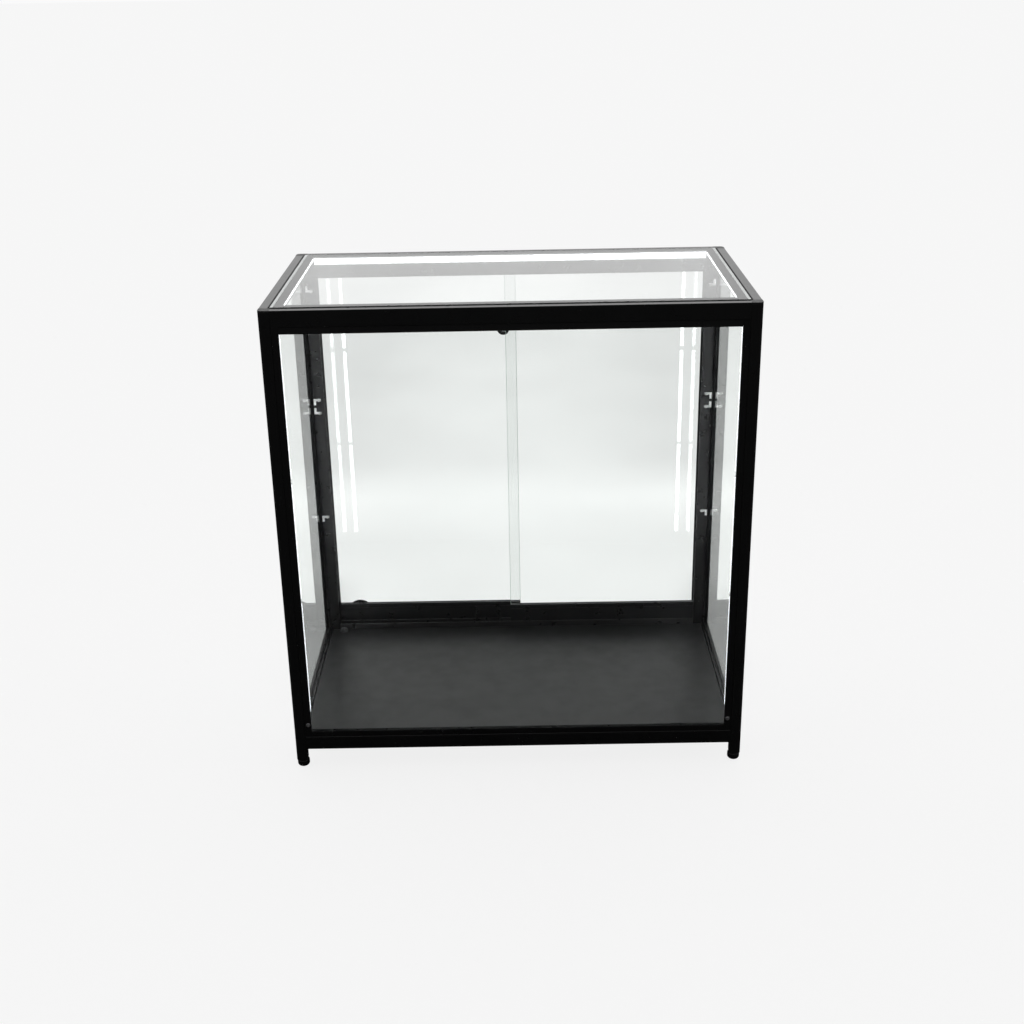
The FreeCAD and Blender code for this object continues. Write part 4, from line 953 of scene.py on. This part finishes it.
def floor_behind(bench):
    """The floor as seen through the panes: shaded beside the counter, bright behind it, dimmer far off."""
    parts = bench.add("ShaderNodeSeparateXYZ")
    bench.join(bench.place, parts.inputs["Vector"])
    depth = parts.outputs["Y"]
    aside = bench.times(parts.outputs["X"], parts.outputs["X"])
    glow = bench.spread(bench.noise(scale=1.8, detail=3.0), NOISE_SPAN, CLOUD_GLOW)
    for span, levels in ((NEAR_FLOOR, NEAR_GLOW), (MIDDLE_FLOOR, MIDDLE_GLOW), (FAR_FLOOR, FAR_GLOW)):
        glow = bench.times(glow, bench.spread(depth, span, levels))
    dimmer = bench.spread(aside, SIDE_SPAN, SIDE_GLOW)
    glow = bench.times(glow, bench.between(bench.spread(depth, MIDDLE_FLOOR, WHOLE_SPAN), WHITE, dimmer))
    shade = bench.spread(aside, SHADE_RISE, WHOLE_SPAN)
    for value, span in ((aside, SHADE_FADE), (depth, SHADE_START), (depth, SHADE_END)):
        shade = bench.times(shade, bench.spread(value, span, WHOLE_SPAN))
    glow = bench.times(glow, bench.spread(shade, WHOLE_SPAN, SHADE_GLOW))
    return bench.between(bench.spread(aside, PATTERN_FADE, WHOLE_SPAN), glow, WHITE)


def lay_floor(stage):
    shape = bmesh.new()
    bmesh.ops.create_grid(shape, x_segments=1, y_segments=1, size=stage.floor_reach)
    mesh = bpy.data.meshes.new("studio_floor")
    shape.to_mesh(mesh)
    shape.free()
    floor = bpy.data.objects.new("studio_floor", mesh)
    bpy.context.scene.collection.objects.link(floor)
    bench = ShaderBench("studio_floor")
    bench.set("Base Color", even_grey(stage.floor_grey))
    bench.set("Roughness", 1.0)
    bench.set("Specular IOR Level", 0.0)
    path = bench.add("ShaderNodeLightPath")
    plain = even_grey(stage.background)
    pale = bench.add("ShaderNodeEmission")
    colour = bench.between(path.outputs["Is Camera Ray"], floor_behind(bench), plain)
    bench.join(colour, pale.inputs["Color"])
    lit = bench.add("ShaderNodeBsdfDiffuse")
    lit.inputs["Color"].default_value = WHITE
    shaded = mixed(bench.tree, stage.shadow_share, pale.outputs["Emission"], lit.outputs["BSDF"])
    behind = forward_share(bench.tree, bench.place, BEHIND_FRONT)
    shown = seen_directly(bench.tree, path, behind)
    bench.finish_with(mixed(bench.tree, shown, bench.shader.outputs["BSDF"], shaded))
    mesh.materials.append(bench.material)


GLOW_SPAN = (-0.7, 0.6)
BACKWARD_SPAN = (-0.1, 0.1)


def light_studio(stage):
    """A soft studio all round, brighter behind the counter than before it."""
    world = bpy.data.worlds.new("studio")
    bpy.context.scene.world = world
    world.use_nodes = True
    tree = world.node_tree
    tree.nodes.clear()
    output = tree.nodes.new("ShaderNodeOutputWorld")
    way = tree.nodes.new("ShaderNodeTexCoord")
    rearward = forward_share(tree, way.outputs["Generated"], GLOW_SPAN)
    studio = tree.nodes.new("ShaderNodeBackground")
    glow = laid_onto(tree, rearward, WHOLE_SPAN, (stage.front_glow, stage.rear_glow))
    tree.links.new(glow, studio.inputs["Strength"])
    backdrop = tree.nodes.new("ShaderNodeBackground")
    backdrop.inputs["Strength"].default_value = stage.background
    for shader in (studio, backdrop):
        shader.inputs["Color"].default_value = WHITE
    path = tree.nodes.new("ShaderNodeLightPath")
    behind = forward_share(tree, way.outputs["Generated"], BACKWARD_SPAN)
    shown = seen_directly(tree, path, behind)
    surroundings = mixed(tree, shown, studio.outputs["Background"], backdrop.outputs["Background"])
    tree.links.new(surroundings, output.inputs["Surface"])


CAMERA_PLACE = Vector((0.007568, -2.62894, 1.52722))
CAMERA_YAW = -0.0047
CAMERA_PITCH = 0.3880
CAMERA_ROLL = -0.0187
SENSOR_WIDTH = 36.0


def aim_camera(stage):
    """Stand the camera where the photograph was taken from."""
    level = math.cos(CAMERA_PITCH)
    ahead = Vector((math.sin(CAMERA_YAW) * level, math.cos(CAMERA_YAW) * level, -math.sin(CAMERA_PITCH)))
    across = Vector((math.cos(CAMERA_YAW), -math.sin(CAMERA_YAW), 0.0))
    upward = across.cross(ahead)
    right = math.cos(CAMERA_ROLL) * across + math.sin(CAMERA_ROLL) * upward
    top = math.cos(CAMERA_ROLL) * upward - math.sin(CAMERA_ROLL) * across
    lens = bpy.data.cameras.new("photo_camera")
    lens.sensor_fit = "HORIZONTAL"
    lens.sensor_width = SENSOR_WIDTH
    lens.lens = stage.lens_length
    lens.dof.use_dof = False
    camera = bpy.data.objects.new("photo_camera", lens)
    bpy.context.scene.collection.objects.link(camera)
    turn = Matrix((right, top, -ahead)).transposed().to_4x4()
    camera.matrix_world = Matrix.Translation(CAMERA_PLACE) @ turn
    bpy.context.scene.camera = camera


STEPS = (
    COUNTER_OT_dress_solids,
    COUNTER_OT_ground_panes,
    COUNTER_OT_soften_edges,
    COUNTER_OT_seat_screws,
    COUNTER_OT_turn_lock_nut,
    COUNTER_OT_cap_lights,
    COUNTER_OT_lay_bands,
    COUNTER_OT_set_stage,
)


class COUNTER_PT_sidebar(bpy.types.Panel):
    """Lists the steps that dress the counter"""

    bl_idname = "COUNTER_PT_sidebar"
    bl_label = "Display Counter"
    bl_space_type = "VIEW_3D"
    bl_region_type = "UI"
    bl_category = "Counter"

    def draw(self, context):
        for step in STEPS:
            self.layout.operator(step.bl_idname)
        scene = context.scene
        for group in (scene.counter_finishes, scene.counter_sizes, scene.counter_stage):
            column = self.layout.column()
            for name in group.__annotations__:
                column.prop(group, name)


GROUPS = (CounterFinishes, CounterSizes, CounterStage)


def register():
    for kind in GROUPS + STEPS + (COUNTER_PT_sidebar,):
        bpy.utils.register_class(kind)
    bpy.types.Scene.counter_finishes = bpy.props.PointerProperty(type=CounterFinishes)
    bpy.types.Scene.counter_sizes = bpy.props.PointerProperty(type=CounterSizes)
    bpy.types.Scene.counter_stage = bpy.props.PointerProperty(type=CounterStage)


def unregister():
    del bpy.types.Scene.counter_stage
    del bpy.types.Scene.counter_sizes
    del bpy.types.Scene.counter_finishes
    for kind in reversed(GROUPS + STEPS + (COUNTER_PT_sidebar,)):
        bpy.utils.unregister_class(kind)


def main():
    register()
    bpy.ops.counter.dress_solids()
    bpy.ops.counter.ground_panes()
    bpy.ops.counter.soften_edges()
    bpy.ops.counter.seat_screws()
    bpy.ops.counter.turn_lock_nut()
    bpy.ops.counter.cap_lights()
    bpy.ops.counter.lay_bands()
    bpy.ops.counter.set_stage()


if __name__ == "__main__":
    main()
